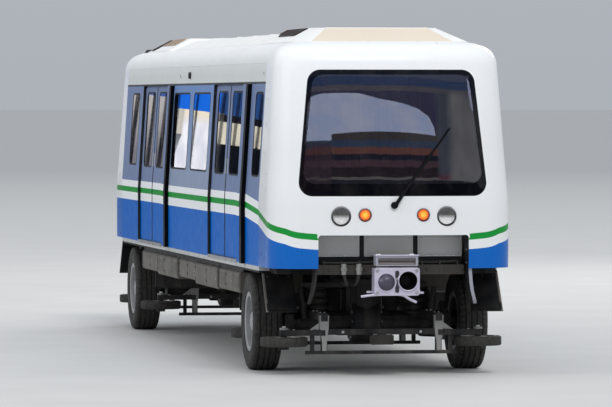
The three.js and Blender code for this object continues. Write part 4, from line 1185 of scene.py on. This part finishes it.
def make_coupler():
    funnel_at, cone_at, gear_at = (0, 0.11, 0.978), (0, -0.108, 0.965), (0, 0, 0.942)
    build = Build("coupler")
    add_coupler_eye(build)
    build.plate((-0.05, 0.05, 0.925, 0.99), 0.015, "x", 6.17, 6.64)
    build.lathe("x", gear_at, [(0.05, 6.25), (0.074, 6.27), (0.074, 6.42), (0.05, 6.44)], "dark")
    for x in (6.3, 6.345, 6.39):
        build.lathe("x", gear_at, [(0.074, x - 0.012), (0.082, x), (0.074, x + 0.012)], "rubber")
    make_coupler_head(funnel_at)
    rim = [(0.093, 6.838), (0.107, 6.838), (0.107, 6.852), (0.1, 6.86), (0.093, 6.855)]
    build.ring("x", funnel_at, rim, steps=48)
    # Painted shade: the funnel's bowl is black, for the dark deep in the hole.
    bowl = [(0.0012, 6.705), (0.05, 6.708), (0.088, 6.8), (0.0925, 6.838), (0.09, 6.838), (0.084, 6.8),
            (0.048, 6.704), (0.0012, 6.7)]
    build.lathe("x", funnel_at, bowl, "rim_black", 40)
    # Painted shade: the cone takes a darker steel than the head, for the shade seen on it.
    cone = [(0.085, 6.838), (0.082, 6.85), (0.06, 6.872), (0.043, 6.886), (0.036, 6.89), (0.0012, 6.89)]
    build.lathe("x", cone_at, cone, "cone_steel", 48)
    build.ring("x", cone_at, rectangle(0.086, 0.1, 6.838, 6.848), steps=48)
    build.plate((-0.02, 0.02, 0.86, 1.08), 0.015, "x", 6.838, 6.846, "gunmetal")
    build.box((6.7, 6.76), (-0.06, 0.06), (1.1, 1.13), "dark")
    make_contact_box(build)
    build.bolts("x", [(6.84, y, z) for z in (0.86, 1.08) for y in (-0.2, 0.2)], size=0.013)
    for y, z in ((-0.255, 0.865), (0.255, 0.855)):
        build.plate((6.7, 6.74, *near(y, 0.035)), 0.012, "z", *near(z, 0.01))
    levers = [
        ([(6.8, -0.02, 0.846), (6.82, -0.14, 0.842), (6.815, -0.25, 0.836), (6.8, -0.36, 0.822)], 0.013),
        ([(6.8, 0.02, 0.843), (6.825, 0.07, 0.832), (6.82, 0.13, 0.795), (6.81, 0.2, 0.762)], 0.014),
        ([(6.79, 0.24, 0.875), (6.8, 0.16, 0.842), (6.815, 0.08, 0.83)], 0.011),
    ]
    for path, radius in levers:
        build.pipe(path, radius, "coupler")
    build.rod("x", (0, 0.0, 1.0), 0.012, 6.84, 6.85, "steel", 16)
    for y in (-0.14, 0.14):
        hose = [(6.62, y * 0.6, 1.0), (6.55, y * 0.8, 0.985), (6.4, y * 0.7, 0.97), (6.27, y * 0.6, 0.975)]
        build.pipe(hose, 0.011, per_span=5)
    build.done("front_coupler_head", "coupler", "front_coupler", bevel=0.002)


def make_drawbar():
    at = (0, 0, COUPLER_Z)
    build = Build("coupler")
    add_coupler_eye(build)
    build.plate((-0.05, 0.05, 0.92, 0.995), 0.02, "x", 6.17, 6.86, steps=5)
    build.lathe("x", at, [(0.06, 6.83), (0.13, 6.85), (0.13, 6.888), (0.128, 6.89), (0.0012, 6.89)], steps=48)
    build.lathe("x", at, [(0.05, 6.3), (0.066, 6.31), (0.066, 6.5), (0.05, 6.51)], "dark")
    build.bolts("x", [(6.852, y, COUPLER_Z + z) for y, z in around(6, 0.1)], size=0.011, out=-1)
    build.done("rear_drawbar_detail", "drawbar", "rear_drawbar", bevel=0.002,
               turn=HALF_TURN)


make_coupler()
make_drawbar()


# Underfloor equipment: from, to, lower edge, distance of the face from the middle, and kind
EQUIPMENT = [
    (-4.08, -2.62, 0.765, 1.19, "doors"),
    (-2.56, -0.82, 0.745, 1.2, "louvres"),
    (-0.76, 0.64, 0.775, 1.185, "doors"),
    (0.7, 2.48, 0.745, 1.2, "doors"),
    (2.54, 4.08, 0.76, 1.19, "louvres"),
]


def add_louvres(build, a, b, y, low):
    for row in range(7):
        z = low + 0.055 + row * 0.02
        build.prism([(y - 0.001, z), (y - 0.007, z + 0.003), (y + 0.001, z + 0.014)], "x", a + 0.05, b - 0.05)
        build.box((a + 0.052, b - 0.052), (y - 0.0012, y + 0.001), (z - 0.003, z + 0.0005), "black")


def add_hinges_and_grip(build, a, b, y, low):
    for z in (low + 0.06, 0.93):
        build.box((a - 0.003, a + 0.04), (y - 0.004, y), near(z, 0.012), "dark")
    x, z = b - 0.06, (low + 0.968) / 2
    build.rod("y", (x, 0, z), 0.017, y - 0.006, y, "steel", 20, 0.002)
    build.box(near(x, 0.003), (y - 0.009, y - 0.004), near(z, 0.013), "steel")


def make_equipment(side, turn=None):
    build = Build("box")
    build.box((-4.08, 4.08), (-1.165, -0.56), (0.976, 1.0294), "dark")
    for x0, x1, low, reach, kind in EQUIPMENT:
        y = -reach
        build.plate((y + 0.006, -0.52, low, 0.985), 0.02, "x", x0, x1)
        doors = 3 if kind == "louvres" else 2
        wide = (x1 - x0 - 0.04) / doors
        for k in range(doors):
            a, b = x0 + 0.02 + k * wide + 0.006, x0 + 0.02 + (k + 1) * wide - 0.006
            build.plate((a, b, low + 0.03, 0.968), 0.012, "y", y + 0.008, y)
            fit_out = add_louvres if kind == "louvres" and k != 1 else add_hinges_and_grip
            fit_out(build, a, b, y, low)
            corners = [(x, y, z) for x in (a + 0.02, b - 0.02) for z in (low + 0.045, 0.953)]
            build.bolts("y", corners, size=0.006, out=-1)
        for x in (x0 + 0.12, x1 - 0.12):
            build.box(near(x, 0.02), (-1.15, -1.08), (0.9, 1.029), "dark")
    for y, z, radius in ((-1.1, 0.957, 0.016), (-0.62, 0.955, 0.022), (-0.66, 0.953, 0.014)):
        build.rod("x", (0, y, z), radius, -4.0, 4.0, "dark", 14)
    build.done(f"{side}_equipment_boxes", replaces=f"{side}_equipment", bevel=0.003,
               turn=turn)


make_equipment("right")
make_equipment("left", HALF_TURN)


def make_centre_gear():
    """Between the runs of boxes: a ribbed resistor box, air reservoirs, conduits and splash plates."""
    # Partly painted shade: besides being gear, these dark parts fill the view under the car, where there is
    # only shade.
    build = Build()
    build.box((1.7, 2.6), (-0.46, 0.46), (0.6, 0.99))
    for k in range(12):
        x = 1.74 + k * 0.075
        build.box((x, x + 0.012), (-0.475, 0.475), (0.598, 0.992))
    for k in range(15):
        y = -0.43 + k * 0.06
        build.box((2.598, 2.612), (y, y + 0.02), (0.62, 0.97), "chassis")
    for x0, x1 in ((-2.4, -0.4), (-0.1, 1.5)):
        end = ((0.02, 0.0), (0.1, 0.012), (0.15, 0.045), (0.165, 0.1))
        tank = [(r, x0 + d) for r, d in end] + [(r, x1 - d) for r, d in reversed(end)]
        for y in (-0.22, 0.22):
            build.lathe("x", (0, y, 0.84), tank, "chassis", 40)
            for x in (x0 + 0.25, x1 - 0.25):
                build.ring("x", (0, y, 0.84), rectangle(0.164, 0.17, *near(x, 0.02)), "steel", 40)
                build.box(near(x, 0.02), near(y, 0.02), (1.0, 1.0295))
    for y in (-0.48, -0.44, 0.42, 0.47):
        build.rod("x", (0, y, 1.006), 0.016, -3.3, 3.3, "rubber", 12)
    build.box((-3.4, 3.4), (-0.5, 0.5), (1.02, 1.0296))
    for out in (-1, 1):
        x = out * 3.5
        build.box(near(x, 0.012), (-0.5, 0.5), (0.56, 1.02))
        for y in (-0.8, 0.8):
            build.box(near(x, 0.011), near(y, 0.305), (0.56, 0.742))
        build.box((x - 0.03, x + 0.012), (-1.1, 1.1), (0.725, 0.742))
        build.box((x + out * 0.012, x + out * 0.02), (-1.08, 1.08), (0.54, 0.6), "rubber")
        for k in range(11):
            y = -1.0 + 0.2 * k
            build.box(near(x, 0.024), near(y, 0.006), (0.57, 0.735))
            build.bolt("x", (x + out * 0.02, y + 0.03, 0.585), size=0.007, out=out)
    build.done("centre_gear", bevel=0.003)


make_centre_gear()


# Wheels. The right wheel is made at the origin with its outer face towards -Y.

def mirrored(half):
    """A profile of (radius, height) with its mirror image."""
    return [*half, *[(radius, -height) for radius, height in reversed(half)]]


def make_tyre(name, body, node, turn):
    """Sidewalls with raised rings, and a tread with four grooves and notched shoulders."""
    steps = 144
    half = [(0.2885, 0.113), (0.297, 0.128), (0.312, 0.136), (0.322, 0.139), (0.325, 0.1425), (0.331, 0.1425),
            (0.334, 0.141), (0.365, 0.1465), (0.4, 0.1495), (0.43, 0.1495), (0.434, 0.1515), (0.44, 0.1515),
            (0.444, 0.1485), (0.462, 0.146), (0.474, 0.143), (0.486, 0.136), (0.4935, 0.126), (0.4985, 0.11),
            (0.4995, 0.094), (0.4995, 0.0935), (0.487, 0.0905), (0.487, 0.0835), (0.5, 0.0805), (0.5, 0.034),
            (0.487, 0.031), (0.487, 0.024), (0.5, 0.021)]
    notched = half[14:19]
    rings = []
    for radius, across in mirrored(half):
        notch = 0.009 if (radius, abs(across)) in notched else 0.0
        ring = []
        for k in range(steps):
            t = 2 * math.pi * k / steps
            r = radius - (0 if k % 3 else notch)
            ring.append((r * math.sin(t), across, r * math.cos(t)))
        rings.append(ring)
    build = Build("tyre")
    build.skin([*rings, rings[0]], capped=False)
    build.done(name, body, node, smooth=32, turn=turn)


def make_rim(name, body, node, turn):
    at = (0, 0, 0)
    rim = mirrored([(0.262, 0.128), (0.268, 0.134), (0.305, 0.134), (0.314, 0.129), (0.316, 0.122),
                    (0.308, 0.118), (0.2875, 0.113), (0.2872, 0.03), (0.278, 0.02)])
    back = [(0.0612, 0.05), (0.13, 0.05), (0.18, 0.03), (0.23, 0.005), (0.262, 0.002)]
    front = [(0.262, -0.04), (0.25, -0.038), (0.215, -0.052), (0.2, -0.064), (0.13, -0.072), (0.112, -0.08),
             (0.0612, -0.08)]
    dish = Build("rim")
    dish.ring("y", at, [*back, *rim, *front], steps=72)
    cutters = []
    for z, x in around(8, 0.228, 0.5):
        hole = Build()
        hole.rod("y", (x, 0, z), 0.021, -0.1, 0.1)
        cutters.append(hole.helper())
    dish = cut(dish.helper(name), cutters)
    dish.data.transform(turn)
    settle(dish, body, node, bevel=0.0015)
    hub = Build("rim")
    cap = [(0.0612, -0.08), (0.095, -0.08), (0.095, -0.1), (0.088, -0.106), (0.05, -0.11), (0.046, -0.116),
           (0.0012, -0.118)]
    hub.lathe("y", at, cap, steps=48)
    for z, x in around(10, 0.165):
        nut_at = (x, -0.068, z)
        hub.rod("y", nut_at, 0.019, -0.006, 0.0, "steel", 20)
        hub.bolt("y", nut_at, size=0.0155, out=-1)
        hub.rod("y", nut_at, 0.008, -0.03, 0.0, "steel", 12, 0.002)
    hub.bolts("y", [(x, -0.1055, z) for z, x in around(6, 0.075, 0.5)], size=0.006, out=-1)
    hub.pipe([(0.0, -0.045, 0.25), (0.0, -0.09, 0.245), (0.0, -0.115, 0.235)], 0.0045, per_span=4, steps=10)
    drum = [(0.14, 0.052), (0.235, 0.052), (0.235, 0.12), (0.225, 0.126), (0.14, 0.126)]
    hub.ring("y", at, drum, "chassis", 48)
    hub.done(name + "_hub", body, bevel=0.001, turn=turn)


def make_guide_wheel(name, body, node, at):
    tyre = mirrored([(0.185, -0.045), (0.192, -0.049), (0.225, -0.048), (0.236, -0.042), (0.24, -0.032)])
    disc = mirrored([(0.0318, -0.044), (0.085, -0.044), (0.095, -0.036), (0.165, -0.018), (0.172, -0.03),
                     (0.175, -0.048), (0.184, -0.048), (0.1855, -0.03)])
    build = Build("tyre")
    build.ring("z", at, tyre, steps=96)
    build.ring("z", at, disc, "guide_steel", 64)
    for x, y in around(6, 0.125):
        for out in (-1, 1):
            build.bolt("z", (at[0] + x, at[1] + y, at[2] + out * 0.027), size=0.011, out=out)
    build.done(name, body, node, smooth=32)


def make_running_gear():
    for end, ahead in (("front", 1), ("rear", -1)):
        for side, sign in (("right", -1), ("left", 1)):
            turn = Matrix.Translation((ahead * AXLE_X, sign * WHEEL_Y, WHEEL_Z))
            if side == "left":
                turn = turn @ HALF_TURN
            name, body = f"{end}_{side}", f"wheel_{end}_{side}"
            make_tyre(name + "_tyre_tread", body, name + "_tyre", turn)
            make_rim(name + "_rim_dish", body, name + "_rim", turn)
            for where, out in (("outer", ahead), ("inner", -ahead)):
                at = (ahead * AXLE_X + out * GUIDE_X, sign * GUIDE_Y, GUIDE_Z)
                make_guide_wheel(f"{name}_guide_tyre_{where}", f"guide_{name}_{where}",
                                 f"{name}_guide_wheel_{where}", at)


make_running_gear()


def add_axle_side(build, side):
    """One side of an axle frame: air spring, brake, damper, and the guide wheels' brackets."""
    at = (0, side * 0.54, 0)
    bellows = [(0.122, 0.6)]
    fold = ((0.128, 0.0), (0.148, 0.018), (0.153, 0.035), (0.148, 0.052), (0.128, 0.068))
    for k in range(3):
        bellows += [(radius, 0.61 + k * 0.07 + z) for radius, z in fold]
    build.lathe("z", at, [*bellows, (0.122, 0.83)], "rubber", 40)
    build.rod("z", at, 0.14, 0.832, 0.849, None, 32, 0.003)
    build.rod("z", at, 0.14, 0.575, 0.6, None, 32, 0.003)
    disc = [(0.108, side * 0.8), (0.205, side * 0.81), (0.205, side * 0.84), (0.108, side * 0.85)]
    build.lathe("y", (0, 0, WHEEL_Z), disc, "steel", 56)
    build.box((0.12, 0.25), (side * 0.775, side * 0.87), (0.43, 0.58))
    build.rod("y", (0.19, 0, 0.505), 0.045, *near(side * 0.74, 0.04), None, 24, 0.004)
    build.tube([(0.22, side * 0.66, 0.56), (0.2, side * 0.7, 0.86)], 0.028, steps=16)
    build.tube([(0.222, side * 0.657, 0.53), (0.213, side * 0.675, 0.7)], 0.038, "dark", 20)
    for x in (-0.95, -0.5, 0.5, 0.95):
        build.bolts("z", [(x, side * 0.59 + dy, 0.62) for dy in (-0.02, 0.02)], size=0.009)
    for x in (-GUIDE_X, GUIDE_X):
        row = [(bolt_x, side * y, 0.452) for bolt_x in near(x, 0.022) for y in (0.66, 0.72, 0.9)]
        build.bolts("z", row, size=0.008)
        build.rod("z", (x, side * GUIDE_Y, 0), 0.045, 0.452, 0.475, "guide_steel", 24, 0.004)
        build.rod("z", (x, side * GUIDE_Y, 0), 0.02, 0.475, 0.492, "steel", 6)
        gusset = [(side * 0.62, 0.46), (side * 0.62, 0.54), (side * 0.74, 0.452)]
        build.prism(gusset, "x", *near(x, 0.01), "guide_steel")
        post = [(0.6, 0.048), (0.47, 0.044), (0.32, 0.024), (0.24, 0.022)]
        right = [(side * 0.59 + half, z) for z, half in post]
        left = [(side * 0.59 - half, z) for z, half in reversed(post)]
        build.prism(right + left, "x", *near(x, 0.036), "guide_steel")


def make_axle_detail(end, turn):
    """Air springs, dampers, brakes, motor fins, bolts and pipes on one axle frame."""
    build = Build("chassis")
    for side in (-1, 1):
        add_axle_side(build, side)
    for x in (-1.075, 1.075):
        build.plate((-0.12, 0.12, 0.3, 0.4), 0.015, "x", *near(x, 0.035), "beam")
        for y in (-0.07, 0.07):
            build.box(near(x, 0.02), near(y, 0.02), (0.39, 0.41), "guide_steel")
    for k in range(9):
        build.box(near(-0.92 + k * 0.085, 0.006), (-0.222, 0.222), (0.49, 0.834))
    build.box((-0.66, -0.4), (-0.1, 0.1), (0.82, 0.855), "box")
    build.lathe("y", (0, 0, WHEEL_Z), [(0.216, -0.14), (0.23, -0.13), (0.23, 0.13), (0.216, 0.14)], steps=40)
    for z, x in around(12, 0.19):
        for side in (-1, 1):
            build.bolt("y", (x, side * 0.15, WHEEL_Z + z), size=0.009, out=side)
    for side in (1, -1):
        pipe = [(-0.42, 0.12, 0.84), (-0.3, 0.28, 0.835), (-0.16, 0.42, 0.8), (-0.1, 0.6, 0.66),
                (0.1, 0.72, 0.6)]
        build.pipe([(x, side * y, z) for x, y, z in pipe], 0.012)
    for out in (-1, 1):
        build.bolts("x", [(out * 1.09, y, 0.43) for y in (-0.4, 0.4)], size=0.011, out=out)
    build.done(f"{end}_axle_detail", f"steer_{end}", bevel=0.002, turn=turn)


make_axle_detail("front", Matrix.Translation((AXLE_X, 0, 0)))
make_axle_detail("rear", Matrix.Translation((-AXLE_X, 0, 0)) @ HALF_TURN)


# Inside

def make_bench(end, turn):
    # Shell sections from the seat's front to the back's top: x, z and how much narrower
    sections = ((5.445, 1.525, 0.03), (5.45, 1.548, 0.02), (5.5, 1.552, 0.012), (5.6, 1.536, 0.01),
                (5.72, 1.532, 0.01), (5.79, 1.545, 0.012), (5.83, 1.62, 0.016), (5.87, 1.78, 0.02),
                (5.895, 1.89, 0.04), (5.91, 1.912, 0.07))
    bench = Build("seat")
    bench.box((5.58, 5.88), (-1.07, 1.07), (1.1305, 1.49), "laminate")
    for k in range(5):
        y = -0.86 + k * 0.43
        rings = []
        for x, z, pinch in sections:
            upper = [(x, y + (0.21 - pinch) * f, z + (0.012 if abs(f) == 1 else 0.0))
                     for f in (-1.0, -0.85, -0.5, 0.0, 0.5, 0.85, 1.0)]
            rings.append([*upper, *[(a + 0.004, b, c - 0.014) for a, b, c in reversed(upper)]])
        bench.skin(rings)
    bench.tube([(5.86, -1.05, 1.47), (5.86, 1.05, 1.47)], 0.02, "stainless")
    bench.done(f"{end}_bench_seats", replaces=f"{end}_bench", bevel=0.003, turn=turn)


def make_grab_rails():
    rails = Build("stainless")
    for y in (-0.52, 0.52):
        rails.tube([(-5.2, y, 2.88), (5.2, y, 2.88)], 0.0175, steps=20)
        for x in (-4.6, -1.3, 1.3, 4.6):
            rails.tube([(x, y, 1.131), (x, y, 3.26)], 0.0185, steps=20)
            rails.rod("z", (x, y, 0), 0.045, 1.1335, 1.142, None, 28, 0.002)
            rails.rod("z", (x, y, 0), 0.03, 2.855, 2.905, None, 24, 0.003)
        for x in (-3.0, 0.0, 3.0):
            rails.tube([(x, y, 2.88), (x, y, 3.262)], 0.012, steps=14)
            rails.rod("z", (x, y, 0), 0.03, 3.255, 3.262)
    for x in (-5.18, 5.18):
        rails.tube([(x, -0.52, 2.88), (x, 0.52, 2.88)], 0.0175, steps=20)
    rails.done("grab_rail_tubes", replaces="grab_rails")


def make_ceiling():
    build = Build("diffuser")
    for y in (-0.32, 0.32):
        for x in (-4.1, -1.4, 1.4, 4.1):
            build.plate((*near(x, 1.2), *near(y, 0.07)), 0.03, "z", 3.235, 3.2615, steps=5)
    build.box((-5.3, 5.3), (-0.12, 0.12), (3.248, 3.2615), "laminate")
    for k in range(40):
        build.box(near(-5.1 + k * 0.26, 0.08), (-0.09, 0.09), (3.2465, 3.249), "black")
    build.done("ceiling_lights", bevel=0.003)


def make_cupboard():
    build = Build("laminate")
    build.prism([(5.99, 1.1305), (5.99, 1.62), (6.06, 1.76), (6.28, 1.76), (6.28, 1.1305)], "y", -0.64, 0.64)
    for y in (-0.32, 0.32):
        build.plate((*near(y, 0.3), 1.16, 1.59), 0.02, "x", 5.9885, 5.995, steps=5)
        build.rod("x", (0, y + 0.24, 1.38), 0.014, 5.984, 5.99, "steel", 20, 0.002)
    build.done("cupboard_doors", replaces="cupboard", bevel=0.006)


floor = Build("vinyl")
floor.box((-5.4, 5.4), (-1.12, 1.12), (1.1302, 1.1335))
floor.done("floor_covering")
make_bench("front", None)
make_bench("rear", HALF_TURN)
make_grab_rails()
make_ceiling()
make_cupboard()


def make_trim():
    """Rubber flaps and edges of the mudguards, their bolts, and bolts along the sills."""
    build = Build()
    for ahead in (1, -1):
        for side in (-1, 1):
            y0, y1 = sorted((side * 0.9, side * 1.215))
            for x, z in ((5.83, 0.99), (5.86, 0.95)):
                for y in (y0 + 0.05, (y0 + y1) / 2, y1 - 0.05):
                    build.bolt("x", (ahead * (x + 0.02), y, z), size=0.009, out=ahead)
            flap = ((0.0, y0 + 0.01, 0.0), (0.0, y1 - 0.01, 0.0), (0.03, y1 - 0.01, 0.004),
                    (0.03, y0 + 0.01, 0.004))
            build.skin([[(ahead * (x + dx), y, z + dz) for dx, y, dz in flap]
                        for x, z in ((5.852, 0.96), (5.98, 0.8), (6.105, 0.66))], "guard")
            outer, inner = side * 1.2152, side * 1.1932
            edge = ((0.0, outer), (0.024, outer), (0.024, inner), (0.0, inner))
            build.skin([[(ahead * (x + dx), y, z) for dx, y in edge]
                        for x, z in ((5.815, 1.025), (6.12, 0.645))], "box")
    for x in [-5.6 + 0.4 * k for k in range(29)]:
        if not 1.9 < abs(x) < 4.2:
            for side in (-1, 1):
                build.rod("y", (x, 0, 1.062), 0.008, side * 1.2295, side * 1.234, "steel", 12)
    build.done("guards_and_bolts", bevel=0.0015)


make_trim()


def dress(node, name):
    """Gives a material to a node that keeps its own shape."""
    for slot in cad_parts[node].material_slots:
        slot.material = MATERIALS[name]


for side in ("right", "left"):
    for end in ("rear", "mid", "front"):
        dress(f"{side}_{end}_panel", "wall")
    for end in ("rear", "front"):
        for where in ("ahead", "behind"):
            dress(f"{side}_{end}_door_{where}", "door")
dress("underframe", "underframe")
dress("front_axle", "chassis")
dress("rear_axle", "chassis")


# Floor and light
def make_stage():
    """A very large floor, pale round the car and as grey as the studio's horizon far away."""
    mesh = bpy.data.meshes.new("floor")
    reach = 1500
    mesh.from_pydata([(x, y, 0) for x, y in rectangle(-reach, reach, -reach, reach)], [], [(0, 1, 2, 3)])
    stage = bpy.data.objects.new("floor", mesh)
    s = Shader("stage_floor")
    mottle = s.spread(s.noise(0.8, 5.0), 0.3, 0.7)
    away = s.math("SQRT", s.math("ADD", s.math("POWER", s.axis("X"), 2.0), s.math("POWER", s.axis("Y"), 2.0)))
    pale = s.mix(mottle, rgb("c9c9c7"), rgb("cfcfcd"))
    s.set(Base_Color=s.mix(s.spread(away, 14.0, 150.0), pale, rgb("a4a6a8")),
          Roughness=s.spread(mottle, 0, 1, 0.85, 0.95), Specular_IOR_Level=0.1)
    mesh.materials.append(s.material)
    bpy.context.scene.collection.objects.link(stage)


def make_card(name, corners, color, strength):
    """A card that only gloss sees. The colour is a function of the shader."""
    mesh = bpy.data.meshes.new(name)
    mesh.from_pydata(corners, [], [list(range(len(corners)))])
    card = bpy.data.objects.new(name, mesh)
    s = Shader(name)
    s.set(Base_Color=(0, 0, 0, 1), Emission_Color=color(s), Emission_Strength=strength, Roughness=1.0,
          Specular_IOR_Level=0.0)
    mesh.materials.append(s.material)
    bpy.context.scene.collection.objects.link(card)
    for ray in ("camera", "diffuse", "transmission", "shadow"):
        setattr(card, "visible_" + ray, False)


# Dark uprights in the side card, by distance from the middle: from and to
UPRIGHTS = [(4.27, 4.345), (4.5, 4.57), (4.7, 4.77), (4.98, 5.035), (5.31, 5.35), (5.69, 5.745),
            (5.94, 5.995), (6.41, 6.46)]


def side_card_color(s):
    """For the slanting view along the right side: white behind the middle windows, greyer and darker at
    both ends, blue above, with dark uprights."""
    y, z = s.far("Y"), s.axis("Z")
    uneven = s.spread(s.noise(5.0, 2.0, (1, 1, 0.4)), 0.4, 0.6)
    middle = s.mix(uneven, rgb("dfe1ee"), rgb("f7f8ff"))
    middle = s.mix(s.spread(z, 2.9, 3.1), middle, rgb("f3e6cf"))
    slant = s.times(s.math("MINIMUM", z, 2.71), 0.214)
    shade = s.below(s.math("SUBTRACT", y, slant), 4.545)
    middle = s.mix(shade, middle, s.mix(s.below(z, 2.71), rgb("c9c6bb"), rgb("565a62")))
    middle = s.mix(s.above(z, 3.14), middle, rgb("1a6be0"))
    behind = s.mix(s.spread(z, 2.3, 3.1), rgb("77757c"), rgb("b4b0b0"))
    behind = s.mix(s.above(z, 3.3), behind, rgb("41609f"))
    ahead = s.mix(uneven, rgb("cfc8b8"), rgb("e6dfcd"))
    ahead = s.mix(s.above(z, 3.0), ahead, rgb("1a1820"))
    ahead = s.mix(s.above(z, 3.12), ahead, rgb("2c4a80"))
    ahead = s.mix(s.below(z, 2.62), ahead, rgb("0e1018"))
    color = s.mix(s.below(y, 4.95), middle, behind)
    color = s.mix(s.above(y, 5.66), color, ahead)
    dark = 0.0
    for start, end in UPRIGHTS:
        dark = s.math("MAXIMUM", s.times(s.above(y, start), s.below(y, end)), dark)
    color = s.mix(dark, color, rgb("11131b"))
    return s.mix(s.below(z, 1.95), color, rgb("04070f"))


# What the windscreen mirrors. The cards stand ahead at one distance, and a place on the screen mirrors the
# card's point that lies this far aside and up, by its offset from a reference place.
CARD_X = 46.6
CARD_Y, CARD_Y_SCALE, SCREEN_Y = -5.65, 13.56, -0.95
CARD_Z, CARD_Z_SCALE, SCREEN_Z = 11.88, 1.667, 2.42
# The bend that the glass gives a level line, and where it is least
BEND, BEND_Y = 0.1667, -0.57


def card_point(y, z):
    """The card's point that the camera sees mirrored at one place of the windscreen."""
    return (CARD_X, CARD_Y_SCALE * (y - SCREEN_Y) + CARD_Y,
            CARD_Z + CARD_Z_SCALE * (z - SCREEN_Z) + BEND * (y - BEND_Y) ** 2)


def mirrored_at(s):
    """The place on the windscreen where it mirrors this point of the card."""
    y = s.math("ADD", s.math("DIVIDE", s.math("SUBTRACT", s.axis("Y"), CARD_Y), CARD_Y_SCALE), SCREEN_Y)
    bend = s.times(s.math("POWER", s.math("ABSOLUTE", s.math("SUBTRACT", y, BEND_Y)), 2.0), BEND)
    z = s.math("SUBTRACT", s.math("SUBTRACT", s.axis("Z"), CARD_Z), bend)
    return y, s.math("ADD", s.math("DIVIDE", z, CARD_Z_SCALE), SCREEN_Z)


# The level bands of the dark card, by height on the windscreen: from, and colour
BANDS = [(0, (0.1, 0.1, 0.15, 1)), (1.885, (0.75, 0.7, 0.68, 1)), (1.912, (0.13, 0.08, 0.1, 1)),
         (2.02, (0.42, 0.25, 0.3, 1)), (2.095, (0.09, 0.09, 0.15, 1)), (2.168, (0.85, 0.36, 0.29, 1)),
         (2.242, (0.24, 0.36, 0.66, 1)), (2.315, (0.33, 0.29, 0.3, 1)), (2.41, (0.3, 0.28, 0.56, 1)),
         (2.86, (0.56, 0.52, 0.66, 1)), (2.93, (0.22, 0.36, 0.82, 1)), (3.03, (0.48, 0.54, 0.86, 1))]


def screen_dark_color(s):
    """Behind the bright card: level bands, rust and brown below, bluish above, and grey at one side."""
    y, z = mirrored_at(s)
    rough = s.spread(s.noise(0.6, 3.0, (1, 1, 2)), 0.3, 0.7, -0.012, 0.012)
    color = s.steps(s.math("ADD", z, rough), BANDS)
    dusk = s.times(s.below(y, -0.62), s.below(z, 2.3))
    color = s.mix(s.times(dusk, 0.6), color, (0.3, 0.17, 0.24, 1))
    slate = s.mix(s.spread(z, 1.93, 2.0), (0.6, 0.25, 0.36, 1), (0.36, 0.42, 0.58, 1))
    grey = s.mix(s.spread(s.noise(1.0, 3.0, (1, 0.3, 1)), 0.4, 0.6), (0.85, 0.85, 0.95, 1),
                 (1.15, 1.15, 1.25, 1))
    side = s.mix(s.spread(y, 0.58, 0.66), slate, grey)
    low = s.times(s.spread(z, 1.89, 1.91), s.spread(z, 2.94, 2.84))
    return s.mix(s.times(s.spread(y, 0.46, 0.5), low), color, side)


def screen_bright_color(s):
    cloud = s.spread(s.noise(1.2, 3.0, (1, 0.2, 3)), 0.4, 0.6)
    return s.mix(cloud, (0.5, 0.6, 0.9, 1), (0.64, 0.68, 0.92, 1))


def make_reflection_cards():
    side = [(-30, y, z) for y, z in ((-3.2, 0), (-8.5, 0), (-8.5, 4.4), (-3.2, 4.4))]
    make_card("side_card", side, side_card_color, 1.5)
    edge = [(-0.97, 2.32), (-0.97, 2.77), (-0.91, 2.8), (-0.74, 2.84), (-0.34, 2.84), (-0.14, 2.785),
            (0.11, 2.738), (0.27, 2.685), (0.385, 2.6), (0.44, 2.48), (0.455, 2.39), (-0.62, 2.39),
            (-0.62, 2.32)]
    make_card("screen_bright_card", [card_point(y, z) for y, z in edge], screen_bright_color, 4.7)
    sliver = [card_point(y, z) for y, z in ((0.81, 3.1), (0.86, 3.1), (0.93, 2.72), (0.89, 2.72))]
    make_card("screen_side_card", sliver, lambda s: rgb("c9cdee"), 4.0)
    behind = [(CARD_X + 0.03, y, z) for y, z in rectangle(-14, 30, 9, 15)]
    make_card("screen_dark_card", behind, screen_dark_color, 1.0)


def make_area(name, at, target, size, power, color=(1, 1, 1)):
    light = bpy.data.lights.new(name, "AREA")
    light.shape = "RECTANGLE"
    light.size, light.size_y = size
    light.energy = power
    light.color = color
    obj = bpy.data.objects.new(name, light)
    obj.location = at
    obj.rotation_euler = (Vector(target) - Vector(at)).to_track_quat("-Z", "Y").to_euler()
    obj.visible_camera = False
    bpy.context.scene.collection.objects.link(obj)


def make_sun():
    light = bpy.data.lights.new("sun", "SUN")
    light.energy = 1.2
    light.angle = math.radians(16)
    light.color = (1.0, 0.985, 0.96)
    obj = bpy.data.objects.new("sun", light)
    obj.rotation_euler = Vector((-1.0, -0.12, -1.1)).to_track_quat("-Z", "Y").to_euler()
    bpy.context.scene.collection.objects.link(obj)


def make_world():
    world = bpy.data.worlds.new("studio")
    world.use_nodes = True
    nodes, links = world.node_tree.nodes, world.node_tree.links
    coords = nodes.new("ShaderNodeTexCoord")
    split = nodes.new("ShaderNodeSeparateXYZ")
    ramp = nodes.new("ShaderNodeValToRGB")
    links.new(coords.outputs["Generated"], split.inputs[0])
    links.new(split.outputs["Z"], ramp.inputs[0])
    links.new(ramp.outputs[0], nodes["Background"].inputs["Color"])
    elements = ramp.color_ramp.elements
    elements[0].position, elements[0].color = 0.0, (0.418, 0.445, 0.479, 1)
    elements[1].position, elements[1].color = 1.0, (0.9, 0.94, 1.0, 1)
    elements.new(0.3).color = (0.55, 0.57, 0.6, 1)
    bpy.context.scene.world = world


make_stage()
make_reflection_cards()
make_world()
make_sun()
make_area("side_fill", (10, -30, 12), (0, 0, 1.8), (20, 8), 1700)
make_area("back_fill", (-24, 16, 14), (-2, 0, 2), (12, 8), 1200)
bpy.context.scene.view_settings.view_transform = "Standard"
